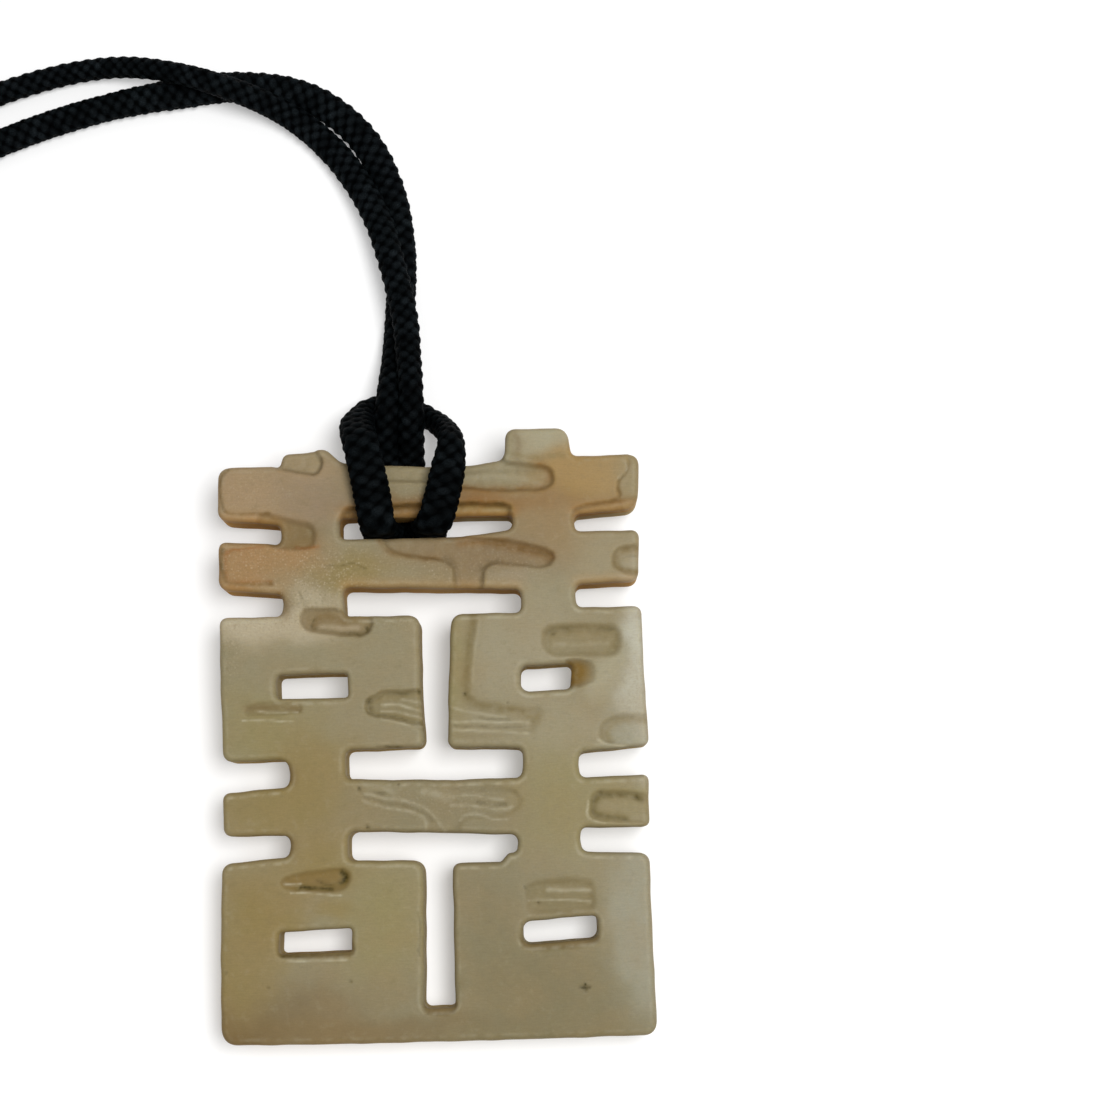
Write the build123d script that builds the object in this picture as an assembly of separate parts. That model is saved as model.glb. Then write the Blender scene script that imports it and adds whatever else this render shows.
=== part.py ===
from build123d import *
import math
import os

# Carved jade pendant lying face up, with its braided cord looped through the slot
# under the top bar. Lengths in millimetres, +Z up, X to the right and Y towards
# the knobs. The origin is on the ground under the middle of the jade.

# Jade plate: the outline from its lower edge upwards
plate_width = 41.0
plate_thickness = 5.0
lower_box_height = 17.3
lower_notch_height = 2.5
lower_bar_height = 4.5
middle_notch_height = 2.8
upper_box_height = 13.9
upper_notch_height = 2.2
second_bar_height = 5.1
top_bar_height = 4.7
left_knob_height = 1.6
right_knob_height = 3.0
knob_width = 5.6
knob_reach = 13.8
hand_drift = 0.5

# Jade plate: necks, openings and corners
neck_reach = 14.0
arm_length = 17.2
arm_shift = -0.3
stem_width = 2.9
stem_shift = 0.15
stem_foot_height = 2.9
eye_length = 6.8
eye_height = 2.5
block_corner = 1.3
inner_corner = 0.6
edge_rounding = 0.8
carving_depth = 0.7
hollow_roundness = 0.45

# Braided cord and its clasp
cord_diameter = 2.4
cord_gap = 0.15
clasp_diameter = 4.2
clasp_length = 14.0
clasp_rounding = 0.8
arc_share = 0.45

cord_slot_height = cord_diameter + 2 * cord_gap

# Heights of the plate's ruled lines above its lower edge
lower_box_top = lower_box_height
lower_bar_bottom = lower_box_top + lower_notch_height
lower_bar_top = lower_bar_bottom + lower_bar_height
upper_box_bottom = lower_bar_top + middle_notch_height
upper_box_top = upper_box_bottom + upper_box_height
second_bar_bottom = upper_box_top + upper_notch_height
second_bar_top = second_bar_bottom + second_bar_height
top_bar_bottom = second_bar_top + cord_slot_height
top_bar_top = top_bar_bottom + top_bar_height

# The stone is cut by hand, so each ruled line strays a little. Columns: the line,
# then its stray at the left end, in the middle and at the right end, in shares of
# hand_drift.
LINES = {
    "lower box top": (lower_box_top, -0.2, -0.8, 0.3),
    "lower bar bottom": (lower_bar_bottom, 0.2, -0.2, 0.0),
    "lower bar top": (lower_bar_top, -0.4, 1.0, 0.4),
    "upper box bottom": (upper_box_bottom, -0.4, 0.9, 0.3),
    "upper box top": (upper_box_top, -0.3, -0.3, 0.4),
    "second bar bottom": (second_bar_bottom, 0.2, 0.2, 0.0),
    "second bar top": (second_bar_top, 0.0, 0.0, 0.3),
    "top bar bottom": (top_bar_bottom, -0.5, 0.0, -0.3),
    "top bar top": (top_bar_top, 0.1, 0.0, 0.7),
}

# Heights of the bands that the outline's blocks fill, as bottom and top.
BANDS = {
    "lower box": (0.0, lower_box_top),
    "lower bar": (lower_bar_bottom, lower_bar_top),
    "upper box": (upper_box_bottom, upper_box_top),
    "second bar": (second_bar_bottom, second_bar_top),
    "top bar": (top_bar_bottom, top_bar_top),
}

# Small slots through the boxes. Columns: band, middle across as a share of the
# plate's half width, middle up as a share of the band's height, length and height
# as shares of the eye's, turn in degrees.
EYES = [
    ("upper box", -0.571, 0.51, 1.03, 1.02, 1.0),
    ("upper box", 0.530, 0.52, 0.75, 1.04, 0.0),
    ("lower box", -0.555, 0.56, 1.02, 1.04, 1.5),
    ("lower box", 0.572, 0.59, 1.03, 1.08, 5.0),
]

# Carved hollows in the front, some of which run out over an edge. Columns: name,
# band, middle across and length as shares of the plate's half width, middle up and
# height as shares of the band's height, turn in degrees, share of carving_depth.
HOLLOWS = [
    ("scoop", "top bar", 0.200, 0.800, 0.80, 0.74, 1.0, 1.00),
    ("right end", "top bar", 0.980, 0.160, 0.38, 0.53, 0.0, 0.80),
    ("knob step", "top bar", -0.610, 0.190, 1.13, 0.50, -8.0, 1.00),
    ("neck side", "second bar", -0.680, 0.210, 1.18, 0.50, 0.0, 0.90),
    ("groove", "second bar", 0.175, 0.840, 0.63, 0.36, -2.0, 1.00),
    ("branch", "second bar", 0.183, 0.130, 0.28, 0.56, 0.0, 0.90),
    ("right end", "second bar", 0.980, 0.170, 0.46, 0.56, 0.0, 0.80),
    ("left capsule", "upper box", -0.445, 0.330, 0.95, 0.17, -2.0, 0.90),
    ("left side", "upper box", -0.160, 0.310, 0.33, 0.21, -4.0, 1.00),
    ("left ledge", "upper box", -0.755, 0.280, 0.36, 0.10, 0.0, 0.60),
    ("right border", "upper box", 0.120, 0.120, 0.56, 0.94, -2.0, 0.70),
    ("right foot", "upper box", 0.280, 0.430, 0.23, 0.20, -3.0, 0.80),
    ("right capsule", "upper box", 0.710, 0.345, 0.77, 0.19, -2.0, 0.90),
    ("right eye ramp", "upper box", 0.710, 0.140, 0.50, 0.15, 0.0, 1.00),
    ("right corner", "upper box", 0.910, 0.240, 0.14, 0.20, 0.0, 0.80),
    ("groove", "lower bar", 0.030, 0.790, 0.80, 0.44, -2.0, 0.80),
    ("branch", "lower bar", 0.035, 0.115, 0.33, 0.70, 0.0, 0.80),
    ("right end", "lower bar", 0.845, 0.235, 0.45, 0.58, 0.0, 0.70),
    ("left capsule", "lower box", -0.566, 0.310, 0.90, 0.13, 0.0, 0.80),
    ("right capsule", "lower box", 0.550, 0.330, 0.80, 0.155, 2.0, 0.80),
]

# Centre line of the cord, from the clasp's far end round to its near end. Columns:
# x, y and z of each corner of the route.
STRAND_A = [
    (-106.5, -26.0, 2.1),
    (-112.0, -23.0, 1.4),
    (-116.0, -14.5, 1.2),
    (-117.0, -2.0, 1.2),
    (-115.2, 12.5, 1.2),
    (-109.0, 27.0, 1.2),
    (-98.5, 40.0, 1.2),
    (-84.8, 50.8, 1.2),
    (-69.5, 59.3, 1.2),
    (-54.0, 65.8, 1.2),
    (-42.5, 69.8, 1.2),
    (-33.5, 71.6, 1.25),
    (-27.0, 70.1, 3.7),
    (-20.8, 67.4, 4.0),
    (-15.3, 65.1, 1.7),
    (-9.7, 61.2, 1.2),
    (-5.4, 55.2, 2.8),
    (-3.7, 49.3, 3.5),
    (-2.6, 43.8, 3.85),
    (-1.85, 38.6, 4.1),
]
# The cord rounds each edge of the top bar through two corners.
HITCH = [
    (-1.55, 34.0, 5.4),
    (-1.75, 30.4, 4.2),
    (-2.0, 26.4, 1.2),
    (-1.7, 21.85, 1.2),
    (-1.3, 20.33, 2.45),
    (0.1, 20.09, 7.45),
    (0.7, 21.45, 8.95),
    (2.3, 27.4, 9.2),
    (2.1, 29.3, 5.3),
    (0.8, 32.3, 1.9),
    (-2.8, 33.6, 1.2),
    (-6.4, 32.6, 1.8),
    (-7.5, 30.0, 5.3),
    (-6.4, 27.4, 9.2),
    (-5.2, 21.45, 8.95),
    (-4.85, 20.09, 7.45),
    (-4.45, 20.33, 2.45),
    (-4.4, 21.85, 1.2),
    (-4.7, 26.4, 1.2),
    (-4.3, 30.4, 3.6),
    (-4.1, 34.0, 4.6),
]
STRAND_B = [
    (-3.6, 38.2, 2.2),
    (-3.1, 42.6, 1.2),
    (-2.6, 47.2, 1.2),
    (-2.7, 52.2, 1.2),
    (-3.6, 57.8, 1.2),
    (-6.3, 64.2, 1.2),
    (-11.6, 68.7, 1.2),
    (-18.4, 69.5, 1.2),
    (-25.5, 68.6, 1.2),
    (-33.0, 67.3, 1.2),
    (-41.5, 64.9, 1.2),
    (-51.0, 60.8, 1.2),
    (-60.5, 53.8, 1.2),
    (-67.8, 43.5, 1.2),
    (-71.6, 30.0, 1.2),
    (-72.6, 15.0, 1.2),
    (-71.6, 0.5, 1.2),
    (-72.6, -13.0, 1.2),
    (-76.2, -22.4, 1.4),
    (-81.8, -26.0, 2.1),
]
CLASP_MIDDLE = (-94.0, -26.0)


def line_height(name, column):
    """Height of a ruled line at the left, middle or right of the plate."""
    ruled, left, middle, right = LINES[name]
    stray = {"left": left, "middle": middle, "right": right}[column]
    return ruled + stray * hand_drift


def outer_side(column):
    """Corners of one side of the outline, upwards, with the rounding of each."""
    half = plate_width / 2
    sign = -1 if column == "left" else 1
    steps = [
        ("lower box top", True),
        ("lower bar bottom", False),
        ("lower bar top", True),
        ("upper box bottom", False),
        ("upper box top", True),
        ("second bar bottom", False),
        ("second bar top", True),
        ("top bar bottom", False),
    ]
    corners = [((sign * half, 0), block_corner)]
    for name, outwards in steps:
        height = line_height(name, column)
        tip = ((sign * half, height), block_corner)
        root = ((sign * neck_reach, height), inner_corner)
        corners += [tip, root] if outwards else [root, tip]
    corners.append(((sign * half, line_height("top bar top", column)), block_corner))
    return corners


def knob(column, height):
    """Corners of one knob on the top bar, from its outer foot to its inner foot."""
    sign = -1 if column == "left" else 1
    outer = sign * knob_reach
    inner = sign * (knob_reach - knob_width)
    side_foot = line_height("top bar top", column)
    middle_foot = line_height("top bar top", "middle")
    tip = top_bar_top + height
    tip_corner = min(block_corner, height / 2)
    return [
        ((outer, side_foot), inner_corner),
        ((outer, tip), tip_corner),
        ((inner, tip), tip_corner),
        ((inner, middle_foot), inner_corner),
    ]


def rounded_face(corners):
    """Face inside a closed outline whose corners each have their own rounding."""
    points = [point for point, rounding in corners]
    roundings = [rounding for point, rounding in corners]
    return make_face(FilletPolyline(*points, radius=roundings, close=True))


def outline():
    right = outer_side("right") + knob("right", right_knob_height)
    left = outer_side("left") + knob("left", left_knob_height)
    return rounded_face(right + left[::-1])


def cord_slot():
    low, high = line_height("second bar top", "middle"), line_height("top bar bottom", "middle")
    middle = Pos(arm_shift, (low + high) / 2)
    return middle * RectangleRounded(arm_length, high - low, inner_corner)


def upper_opening():
    """Opening between the second bar, the two upper boxes and the lower bar."""
    arm_left, arm_right = arm_shift - arm_length / 2, arm_shift + arm_length / 2
    stem_left, stem_right = stem_shift - stem_width / 2, stem_shift + stem_width / 2
    bottom = line_height("lower bar top", "middle")
    box_bottom = line_height("upper box bottom", "middle")
    box_top = line_height("upper box top", "middle")
    top = line_height("second bar bottom", "middle")
    return rounded_face([
        ((arm_left, bottom), inner_corner),
        ((arm_right, bottom), inner_corner),
        ((arm_right, box_bottom), inner_corner),
        ((stem_right, box_bottom), block_corner),
        ((stem_right, box_top), block_corner),
        ((arm_right, box_top), inner_corner),
        ((arm_right, top), inner_corner),
        ((arm_left, top), inner_corner),
        ((arm_left, box_top), inner_corner),
        ((stem_left, box_top), block_corner),
        ((stem_left, box_bottom), block_corner),
        ((arm_left, box_bottom), inner_corner),
    ])


def lower_opening():
    """Opening between the lower bar and the two lower boxes, down into the plate."""
    arm_left, arm_right = arm_shift - arm_length / 2, arm_shift + arm_length / 2
    stem_left, stem_right = stem_shift - stem_width / 2, stem_shift + stem_width / 2
    box_top = line_height("lower box top", "middle")
    top = line_height("lower bar bottom", "middle")
    return rounded_face([
        ((stem_left, stem_foot_height), inner_corner),
        ((stem_right, stem_foot_height), inner_corner),
        ((stem_right, box_top), block_corner),
        ((arm_right, box_top), inner_corner),
        ((arm_right, top), inner_corner),
        ((arm_left, top), inner_corner),
        ((arm_left, box_top), inner_corner),
        ((stem_left, box_top), block_corner),
    ])


def band_height(band, share):
    bottom, top = BANDS[band]
    return bottom + share * (top - bottom)


def eye_slots():
    slots = []
    for band, across, up, length, height, turn in EYES:
        place = Pos(across * plate_width / 2, band_height(band, up)) * Rot(0, 0, turn)
        slots.append(place * RectangleRounded(length * eye_length, height * eye_height, inner_corner))
    return slots


def hollow_cutters():
    """Blind round-cornered cutters that stand in the front face."""
    half_width = plate_width / 2
    cutters = []
    for name, band, across, length, up, height, turn, depth in HOLLOWS:
        bottom, top = BANDS[band]
        long_side, short_side = length * half_width, height * (top - bottom)
        corner = hollow_roundness * min(long_side, short_side)
        shape = RectangleRounded(long_side, short_side, corner)
        floor_height = plate_thickness - depth * carving_depth
        place = Pos(across * half_width, band_height(band, up), floor_height) * Rot(0, 0, turn)
        cutters.append(place * extrude(shape, plate_thickness))
    return cutters


def jade_plate():
    """Pierced plate, flat on its back in its own frame, lower edge along X."""
    face = outline() - cord_slot() - upper_opening() - lower_opening()
    for slot in eye_slots():
        face = face - slot
    plate = extrude(face, plate_thickness)
    rims = plate.edges().filter_by(Axis.Z, reverse=True)
    plate = fillet(rims, edge_rounding)
    for cutter in hollow_cutters():
        plate = plate - cutter
    return plate


def lay_down(plate):
    """Tip the plate up until the cord fits under its top bar, then centre it."""
    tilt = math.degrees(math.asin((cord_diameter + cord_gap) / top_bar_bottom))
    tipped = Rot(tilt, 0, 0) * plate
    box = tipped.bounding_box()
    return Pos(-box.center().X, -box.center().Y, -box.min.Z) * tipped


def corner_radius(before, corner, after):
    """Arc at a corner of the route, as wide as its shorter run allows."""
    run_in, run_out = corner - before, after - corner
    half_turn = math.radians(run_in.get_angle(run_out)) / 2
    return arc_share * min(run_in.length, run_out.length) / math.tan(half_turn)


def cord_tubes():
    """The hitch and the two strands, which meet it in the middle of a run."""
    clasp_x, clasp_y = CLASP_MIDDLE
    height = clasp_diameter / 2
    start = (clasp_x - clasp_length / 2, clasp_y, height)
    end = (clasp_x + clasp_length / 2, clasp_y, height)
    points = [Vector(*row) for row in [start] + STRAND_A + HITCH + STRAND_B + [end]]
    radii = [0.0] * len(points)
    for i in range(1, len(points) - 1):
        radii[i] = corner_radius(points[i - 1], points[i], points[i + 1])
    print("cord radii", [round(radius, 1) for radius in radii[1:-1]])
    first_hitch = 1 + len(STRAND_A)
    after_hitch = first_hitch + len(HITCH)
    join_a = (points[first_hitch - 1] + points[first_hitch]) / 2
    join_b = (points[after_hitch - 1] + points[after_hitch]) / 2
    return {
        "cord_strand_a": tube(points[:first_hitch] + [join_a], radii[1:first_hitch]),
        "cord_hitch": tube([join_a] + points[first_hitch:after_hitch] + [join_b],
                           radii[first_hitch:after_hitch]),
        "cord_strand_b": tube([join_b] + points[after_hitch:], radii[after_hitch:-1]),
    }


def tube(points, radii):
    path = FilletPolyline(*points, radius=radii)
    section = Plane(origin=path @ 0, z_dir=path % 0) * Circle(cord_diameter / 2)
    body = sweep(section, path=path)
    expected = math.pi * (cord_diameter / 2) ** 2 * path.length
    print(f"tube length {path.length:.1f} volume {body.volume:.1f} expected {expected:.1f}")
    return body


def cord_clasp():
    clasp_x, clasp_y = CLASP_MIDDLE
    barrel = Rot(0, 90, 0) * Cylinder(clasp_diameter / 2, clasp_length)
    barrel = fillet(barrel.edges().filter_by(GeomType.CIRCLE), clasp_rounding)
    return Pos(clasp_x, clasp_y, clasp_diameter / 2) * barrel


def main():
    os.makedirs("parts", exist_ok=True)
    nodes = {"jade_plate": lay_down(jade_plate()), "cord_clasp": cord_clasp()}
    nodes.update(cord_tubes())
    for name, solid in nodes.items():
        print(name, "volume", round(solid.volume, 1), "valid", solid.is_valid)
        export_step(solid, f"parts/{name}.step")


main()
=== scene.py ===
import math
from types import SimpleNamespace

import bpy
import numpy as np
from mathutils import Matrix, Vector, kdtree, noise
from mathutils.geometry import delaunay_2d_cdt


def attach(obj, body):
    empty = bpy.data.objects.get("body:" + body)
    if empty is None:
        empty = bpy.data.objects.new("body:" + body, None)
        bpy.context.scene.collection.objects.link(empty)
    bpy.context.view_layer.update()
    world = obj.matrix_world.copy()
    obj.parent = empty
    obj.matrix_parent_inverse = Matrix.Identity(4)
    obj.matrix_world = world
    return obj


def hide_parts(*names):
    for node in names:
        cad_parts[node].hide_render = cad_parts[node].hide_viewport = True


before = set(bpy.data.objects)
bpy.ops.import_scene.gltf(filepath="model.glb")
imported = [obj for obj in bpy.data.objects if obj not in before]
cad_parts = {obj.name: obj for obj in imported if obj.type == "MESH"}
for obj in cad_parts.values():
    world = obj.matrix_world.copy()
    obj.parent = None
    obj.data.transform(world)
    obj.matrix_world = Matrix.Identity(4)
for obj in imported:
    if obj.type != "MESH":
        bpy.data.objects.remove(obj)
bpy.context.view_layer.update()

MM = 0.001


# Camera, lights and floor. Lengths in millimetres unless said otherwise.
CAMERA_AZIMUTH = -1.617
CAMERA_ELEVATION = 78.807
CAMERA_PLACE = (10.65, -21.89, 204.81)
CAMERA_LENS = 67.48
CAMERA_CLIP = (10.0, 10000.0)
SENSOR_WIDTH = 36.0

DOME_STRENGTH = 0.45
KEY_PLACE = (105.0, -5.0, 370.0)
KEY_AIM = (0.0, 10.0, 0.0)
KEY_WIDTH = 225.0
KEY_DEPTH = 165.0
KEY_POWER = 1.3
FLOOR_HALF = 1500.0
FLOOR_DROP = 0.02
FLOOR_WHITE = 0.67
FLOOR_GLOW = 0.3


def add_object(name, data):
    made = bpy.data.objects.new(name, data)
    bpy.context.scene.collection.objects.link(made)
    return made


def add_camera():
    a, e = math.radians(CAMERA_AZIMUTH), math.radians(CAMERA_ELEVATION)
    right = Vector((math.cos(a), math.sin(a), 0))
    up = Vector((-math.sin(a) * math.sin(e), math.cos(a) * math.sin(e), math.cos(e)))
    camera = bpy.data.cameras.new("camera")
    camera.lens = CAMERA_LENS
    camera.sensor_fit = "HORIZONTAL"
    camera.sensor_width = SENSOR_WIDTH
    camera.clip_start, camera.clip_end = (distance * MM for distance in CAMERA_CLIP)
    turn = Matrix((right, up, right.cross(up))).transposed().to_4x4()
    holder = add_object("camera", camera)
    holder.matrix_world = Matrix.Translation(Vector(CAMERA_PLACE) * MM) @ turn
    bpy.context.scene.camera = holder


def add_light():
    lamp = bpy.data.lights.new("key", "AREA")
    lamp.shape = "ELLIPSE"
    lamp.size = KEY_WIDTH * MM
    lamp.size_y = KEY_DEPTH * MM
    lamp.energy = KEY_POWER
    place = Vector(KEY_PLACE) * MM
    aim = (Vector(KEY_AIM) * MM - place).to_track_quat("-Z", "Y")
    add_object("key", lamp).matrix_world = Matrix.Translation(place) @ aim.to_matrix().to_4x4()


def add_world():
    world = bpy.data.worlds.new("studio")
    world.use_nodes = True
    sky = world.node_tree.nodes["Background"]
    sky.inputs["Color"].default_value = (1, 1, 1, 1)
    sky.inputs["Strength"].default_value = DOME_STRENGTH
    bpy.context.scene.world = world
    bpy.context.scene.view_settings.view_transform = "Standard"


def add_floor():
    half, height = FLOOR_HALF * MM, -FLOOR_DROP * MM
    corners = [(x * half, y * half, height) for x, y in ((-1, -1), (1, -1), (1, 1), (-1, 1))]
    mesh = bpy.data.meshes.new("floor")
    mesh.from_pydata(corners, [], [(0, 1, 2, 3)])
    mesh.materials.append(Shading("white_floor").finish({
        "Base Color": (FLOOR_WHITE, FLOOR_WHITE, FLOOR_WHITE),
        "Roughness": 1.0,
        "Specular IOR Level": 0.0,
        "Emission Color": (1, 1, 1),
        "Emission Strength": FLOOR_GLOW,
    }))
    add_object("floor", mesh)


class Shading:
    """A material in the making: each call adds a node and joins what it is given."""

    def __init__(self, name):
        self.material = bpy.data.materials.new(name)
        self.material.use_nodes = True

    def put(self, socket, value):
        """Join the socket to another one, or give it a value."""
        if isinstance(value, bpy.types.NodeSocket):
            self.material.node_tree.links.new(value, socket)
        elif socket.type == "RGBA":
            socket.default_value = (*value, 1)
        else:
            socket.default_value = value

    def add(self, kind, inputs, **settings):
        made = self.material.node_tree.nodes.new("ShaderNode" + kind)
        for name, value in settings.items():
            setattr(made, name, value)
        for key, value in inputs.items():
            self.put(made.inputs[key], value)
        return made

    def painted(self, name):
        """The colours painted on the mesh under this name."""
        return self.add("Attribute", {}, attribute_name=name).outputs["Color"]

    def channels(self, colour):
        return self.add("SeparateColor", {0: colour}).outputs

    def millimetres(self):
        place = self.add("TexCoord", {}).outputs["Object"]
        return self.add("VectorMath", {0: place, "Scale": 1 / MM}, operation="SCALE").outputs[0]

    def noise(self, place, per_mm, detail, rough, stretch=None):
        if stretch:
            place = self.add("Mapping", {"Vector": place, "Scale": stretch}).outputs[0]
        inputs = {"Vector": place, "Scale": per_mm, "Detail": detail, "Roughness": rough}
        return self.add("TexNoise", inputs).outputs["Fac"]

    def remap(self, value, low, high, to_low, to_high):
        inputs = {"Value": value, "From Min": low, "From Max": high, "To Min": to_low, "To Max": to_high}
        return self.add("MapRange", inputs).outputs["Result"]

    def maths(self, operation, *values):
        return self.add("Math", dict(enumerate(values)), operation=operation).outputs[0]

    def product(self, value, *others):
        for other in others:
            value = self.maths("MULTIPLY", value, other)
        return value

    def mix(self, share, a, b, blend="MIX"):
        inputs = {0: share, 6: a, 7: b}
        made = self.add("Mix", inputs, data_type="RGBA", blend_type=blend, clamp_factor=True)
        return made.outputs[2]

    def bump(self, height, depth):
        inputs = {"Strength": 0.5, "Distance": depth * MM, "Height": height}
        return self.add("Bump", inputs).outputs[0]

    def finish(self, values):
        """Give the shader its values."""
        shader = self.material.node_tree.nodes["Principled BSDF"]
        for name, value in values.items():
            self.put(shader.inputs[name], value)
        return self.material


def linear(colour):
    """Linear light of a colour given as shares of 255."""
    share = np.array(colour, float) / 255
    return np.where(share <= 0.04045, share / 12.92, ((share + 0.055) / 1.055) ** 2.4)


def smooth(share):
    share = np.clip(share, 0, 1)
    return share * share * (3 - 2 * share)


def unit(vectors):
    return vectors / np.linalg.norm(vectors, axis=-1, keepdims=True)


def lengths_along(line):
    return np.concatenate([[0], np.cumsum(np.linalg.norm(np.diff(line, axis=0), axis=1))])


def add_mesh(name, points, faces, material):
    """Object from points in millimetres, smooth shaded."""
    mesh = bpy.data.meshes.new(name)
    mesh.from_pydata((np.asarray(points) * MM).tolist(), [], faces)
    mesh.materials.append(material)
    mesh.polygons.foreach_set("use_smooth", [True] * len(mesh.polygons))
    mesh.update()
    return add_object(name, mesh)


def add_colours(mesh, name, channels):
    """Paint three channels, or a colour, on the mesh's points."""
    layer = mesh.attributes.new(name, "FLOAT_COLOR", "POINT")
    four = np.ones((len(mesh.vertices), 4), np.float32)
    four[:, :3] = channels
    layer.data.foreach_set("color", four.ravel())


def tube_faces(count, around, flip=False):
    """Faces between the rings of a tube, and a cap at each end."""
    ring, spot = np.meshgrid(np.arange(count - 1), np.arange(around), indexing="ij")
    here, beside = ring * around + spot, ring * around + (spot + 1) % around
    sides = [here, beside, beside + around, here + around]
    first, last = list(range(around)), list(range((count - 1) * around, count * around))
    if flip:
        sides[1], sides[3] = sides[3], sides[1]
        first, last = first[::-1], last[::-1]
    return np.stack(sides, -1).reshape(-1, 4).tolist() + [first[::-1], last]


# Cord: the centre line's points, in millimetres in the row's frame, and how wide
# and how thick the cord is pressed there, in shares of its diameter.
CORD_DIAMETER = 2.4
CORD_ROUTE = [
    (-101.0, -26.0, 2.1, 1, 1), (-106.5, -26.0, 2.1, 1, 1), (-112.0, -23.0, 1.4, 1, 1),
    (-116.0, -14.5, 1.2, 1, 1), (-117.0, -2.0, 1.2, 1, 1), (-115.2, 12.5, 1.2, 1, 1),
    (-109.0, 27.0, 1.2, 1, 1), (-98.5, 40.0, 1.2, 1, 1), (-84.8, 50.8, 1.2, 1, 1),
    (-69.38, 58.96, 1.2, 1.03, 1), (-53.86, 65.43, 1.2, 1, 1), (-42.5, 69.88, 1.2, 0.95, 1),
    (-33.89, 71.75, 1.25, 0.89, 1), (-26.95, 70.1, 3.7, 0.87, 1), (-20.43, 67.85, 4.0, 1.0, 1),
    (-14.59, 65.91, 1.7, 1.09, 0.95), (-9.42, 61.62, 1.2, 1.22, 0.92), (-5.27, 54.53, 2.8, 1.19, 0.95),
    (-3.54, 48.35, 3.5, 1.13, 1), (-2.22, 42.43, 3.85, 1.1, 1), (-2.0, 38.6, 4.1, 1.06, 1),
    (-1.66, 34.0, 5.4, 1.03, 1), (-1.88, 30.4, 4.2, 1.13, 1), (-2.12, 26.4, 1.2, 1.18, 0.92),
    (-1.5, 21.6, 1.2, 1.35, 0.84), (-0.62, 19.87, 2.4, 1.72, 0.78), (-0.2, 19.85, 6.2, 1.38, 0.8),
    (0.68, 20.0, 8.8, 1.4, 0.84), (1.35, 22.3, 8.8, 1.41, 0.86), (2.15, 25.6, 9.2, 1.36, 0.88),
    (2.42, 28.3, 8.2, 1.08, 0.95), (1.75, 30.2, 4.6, 0.92, 1), (0.2, 32.1, 1.9, 0.92, 1),
    (-2.8, 33.9, 1.2, 1, 1), (-6.4, 33.2, 1.8, 1.15, 1), (-7.3, 30.8, 5.2, 1.4, 0.97),
    (-6.52, 28.1, 9.0, 1.42, 0.9), (-5.87, 25.2, 9.2, 1.44, 0.88), (-5.3, 22.2, 8.8, 1.46, 0.86),
    (-5.02, 20.0, 8.8, 1.42, 0.84), (-4.92, 19.85, 6.2, 1.46, 0.8), (-4.5, 19.87, 2.4, 1.7, 0.8),
    (-4.5, 21.6, 1.2, 1.3, 0.86), (-4.5, 26.4, 1.2, 1.2, 0.92), (-4.3, 30.29, 3.6, 1.18, 1),
    (-3.9, 33.87, 4.6, 1.12, 1), (-3.53, 38.06, 2.2, 1.08, 1), (-3.1, 42.43, 1.2, 1.17, 1),
    (-2.7, 46.97, 1.2, 1.27, 1), (-2.78, 51.81, 1.2, 1.28, 0.95), (-3.78, 57.4, 1.2, 1.3, 0.92),
    (-6.45, 63.3, 1.2, 1.31, 0.92), (-11.9, 67.85, 1.2, 1.32, 0.92), (-18.9, 69.25, 1.2, 1.31, 0.96),
    (-25.91, 68.5, 1.2, 1.34, 1), (-33.23, 67.23, 1.2, 1.17, 1), (-41.75, 64.66, 1.2, 1.17, 1),
    (-51.24, 60.59, 1.2, 1.14, 1), (-60.72, 53.52, 1.2, 1.08, 1), (-67.8, 43.5, 1.2, 1, 1),
    (-71.6, 30.0, 1.2, 1, 1), (-72.6, 15.0, 1.2, 1, 1), (-71.6, 0.5, 1.2, 1, 1),
    (-72.6, -13.0, 1.2, 1, 1), (-76.2, -22.4, 1.4, 1, 1), (-81.8, -26.0, 2.1, 1, 1),
    (-87.0, -26.0, 2.1, 1, 1),
]
ROUTE_RESOLUTION = 24
SAMPLE_STEP = 0.1
CORD_AROUND = 44
CORD_FINE_STEP = 0.17
CORD_COARSE_STEP = 0.3
SEEN_FROM_X = -46.0
# The braid: how many yarns run each way, how far one runs in a turn, and its relief.
CARRIERS = 5
BRAID_LAY = 6.6
YARN_ROUND = 0.3
YARN_RISE = 0.1
YARN_NARROW = 1.9
CROWN = 0.08
RUFFLE = 0.035
RUFFLE_ALONG = 0.9
RUFFLE_AROUND = 1.82
# Where the cord is pressed, its cross-section turns from round to boxy.
PRESSED_FROM = 1.3
PRESSED_FULLY = 1.65
ROUND_POWER = 2.0
PRESSED_POWER = 5.0
# Where the cord climbs steeply, its flat side keeps facing the same way.
STEEP_FROM = 0.55
STEEP_SPAN = 0.35
STEEP_PUSH = 3.0
LOWEST = 0.02
# How light the yarns are: their own spread, darker by the jade where painted shade lies on them, and on the
# far stretch.
YARN_TONES = 0.45
NEAR_JADE_SHADE = 0.05
FAR_TONE = 0.55
FAR_FROM_Y = 40.0


def spline_line(points):
    """Points along the NURBS spline that has these control points."""
    curve = bpy.data.curves.new("route", "CURVE")
    curve.dimensions = "3D"
    curve.resolution_u = ROUTE_RESOLUTION
    spline = curve.splines.new("NURBS")
    spline.points.add(len(points) - 1)
    for knot, point in zip(spline.points, points):
        knot.co = (*(Vector(point) * MM), 1)
    spline.order_u = 3
    spline.use_endpoint_u = True
    holder = bpy.data.objects.new("route", curve)
    mesh = bpy.data.meshes.new_from_object(holder)
    line = np.array([vertex.co for vertex in mesh.vertices]) / MM
    bpy.data.meshes.remove(mesh)
    bpy.data.objects.remove(holder)
    bpy.data.curves.remove(curve)
    return line


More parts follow.
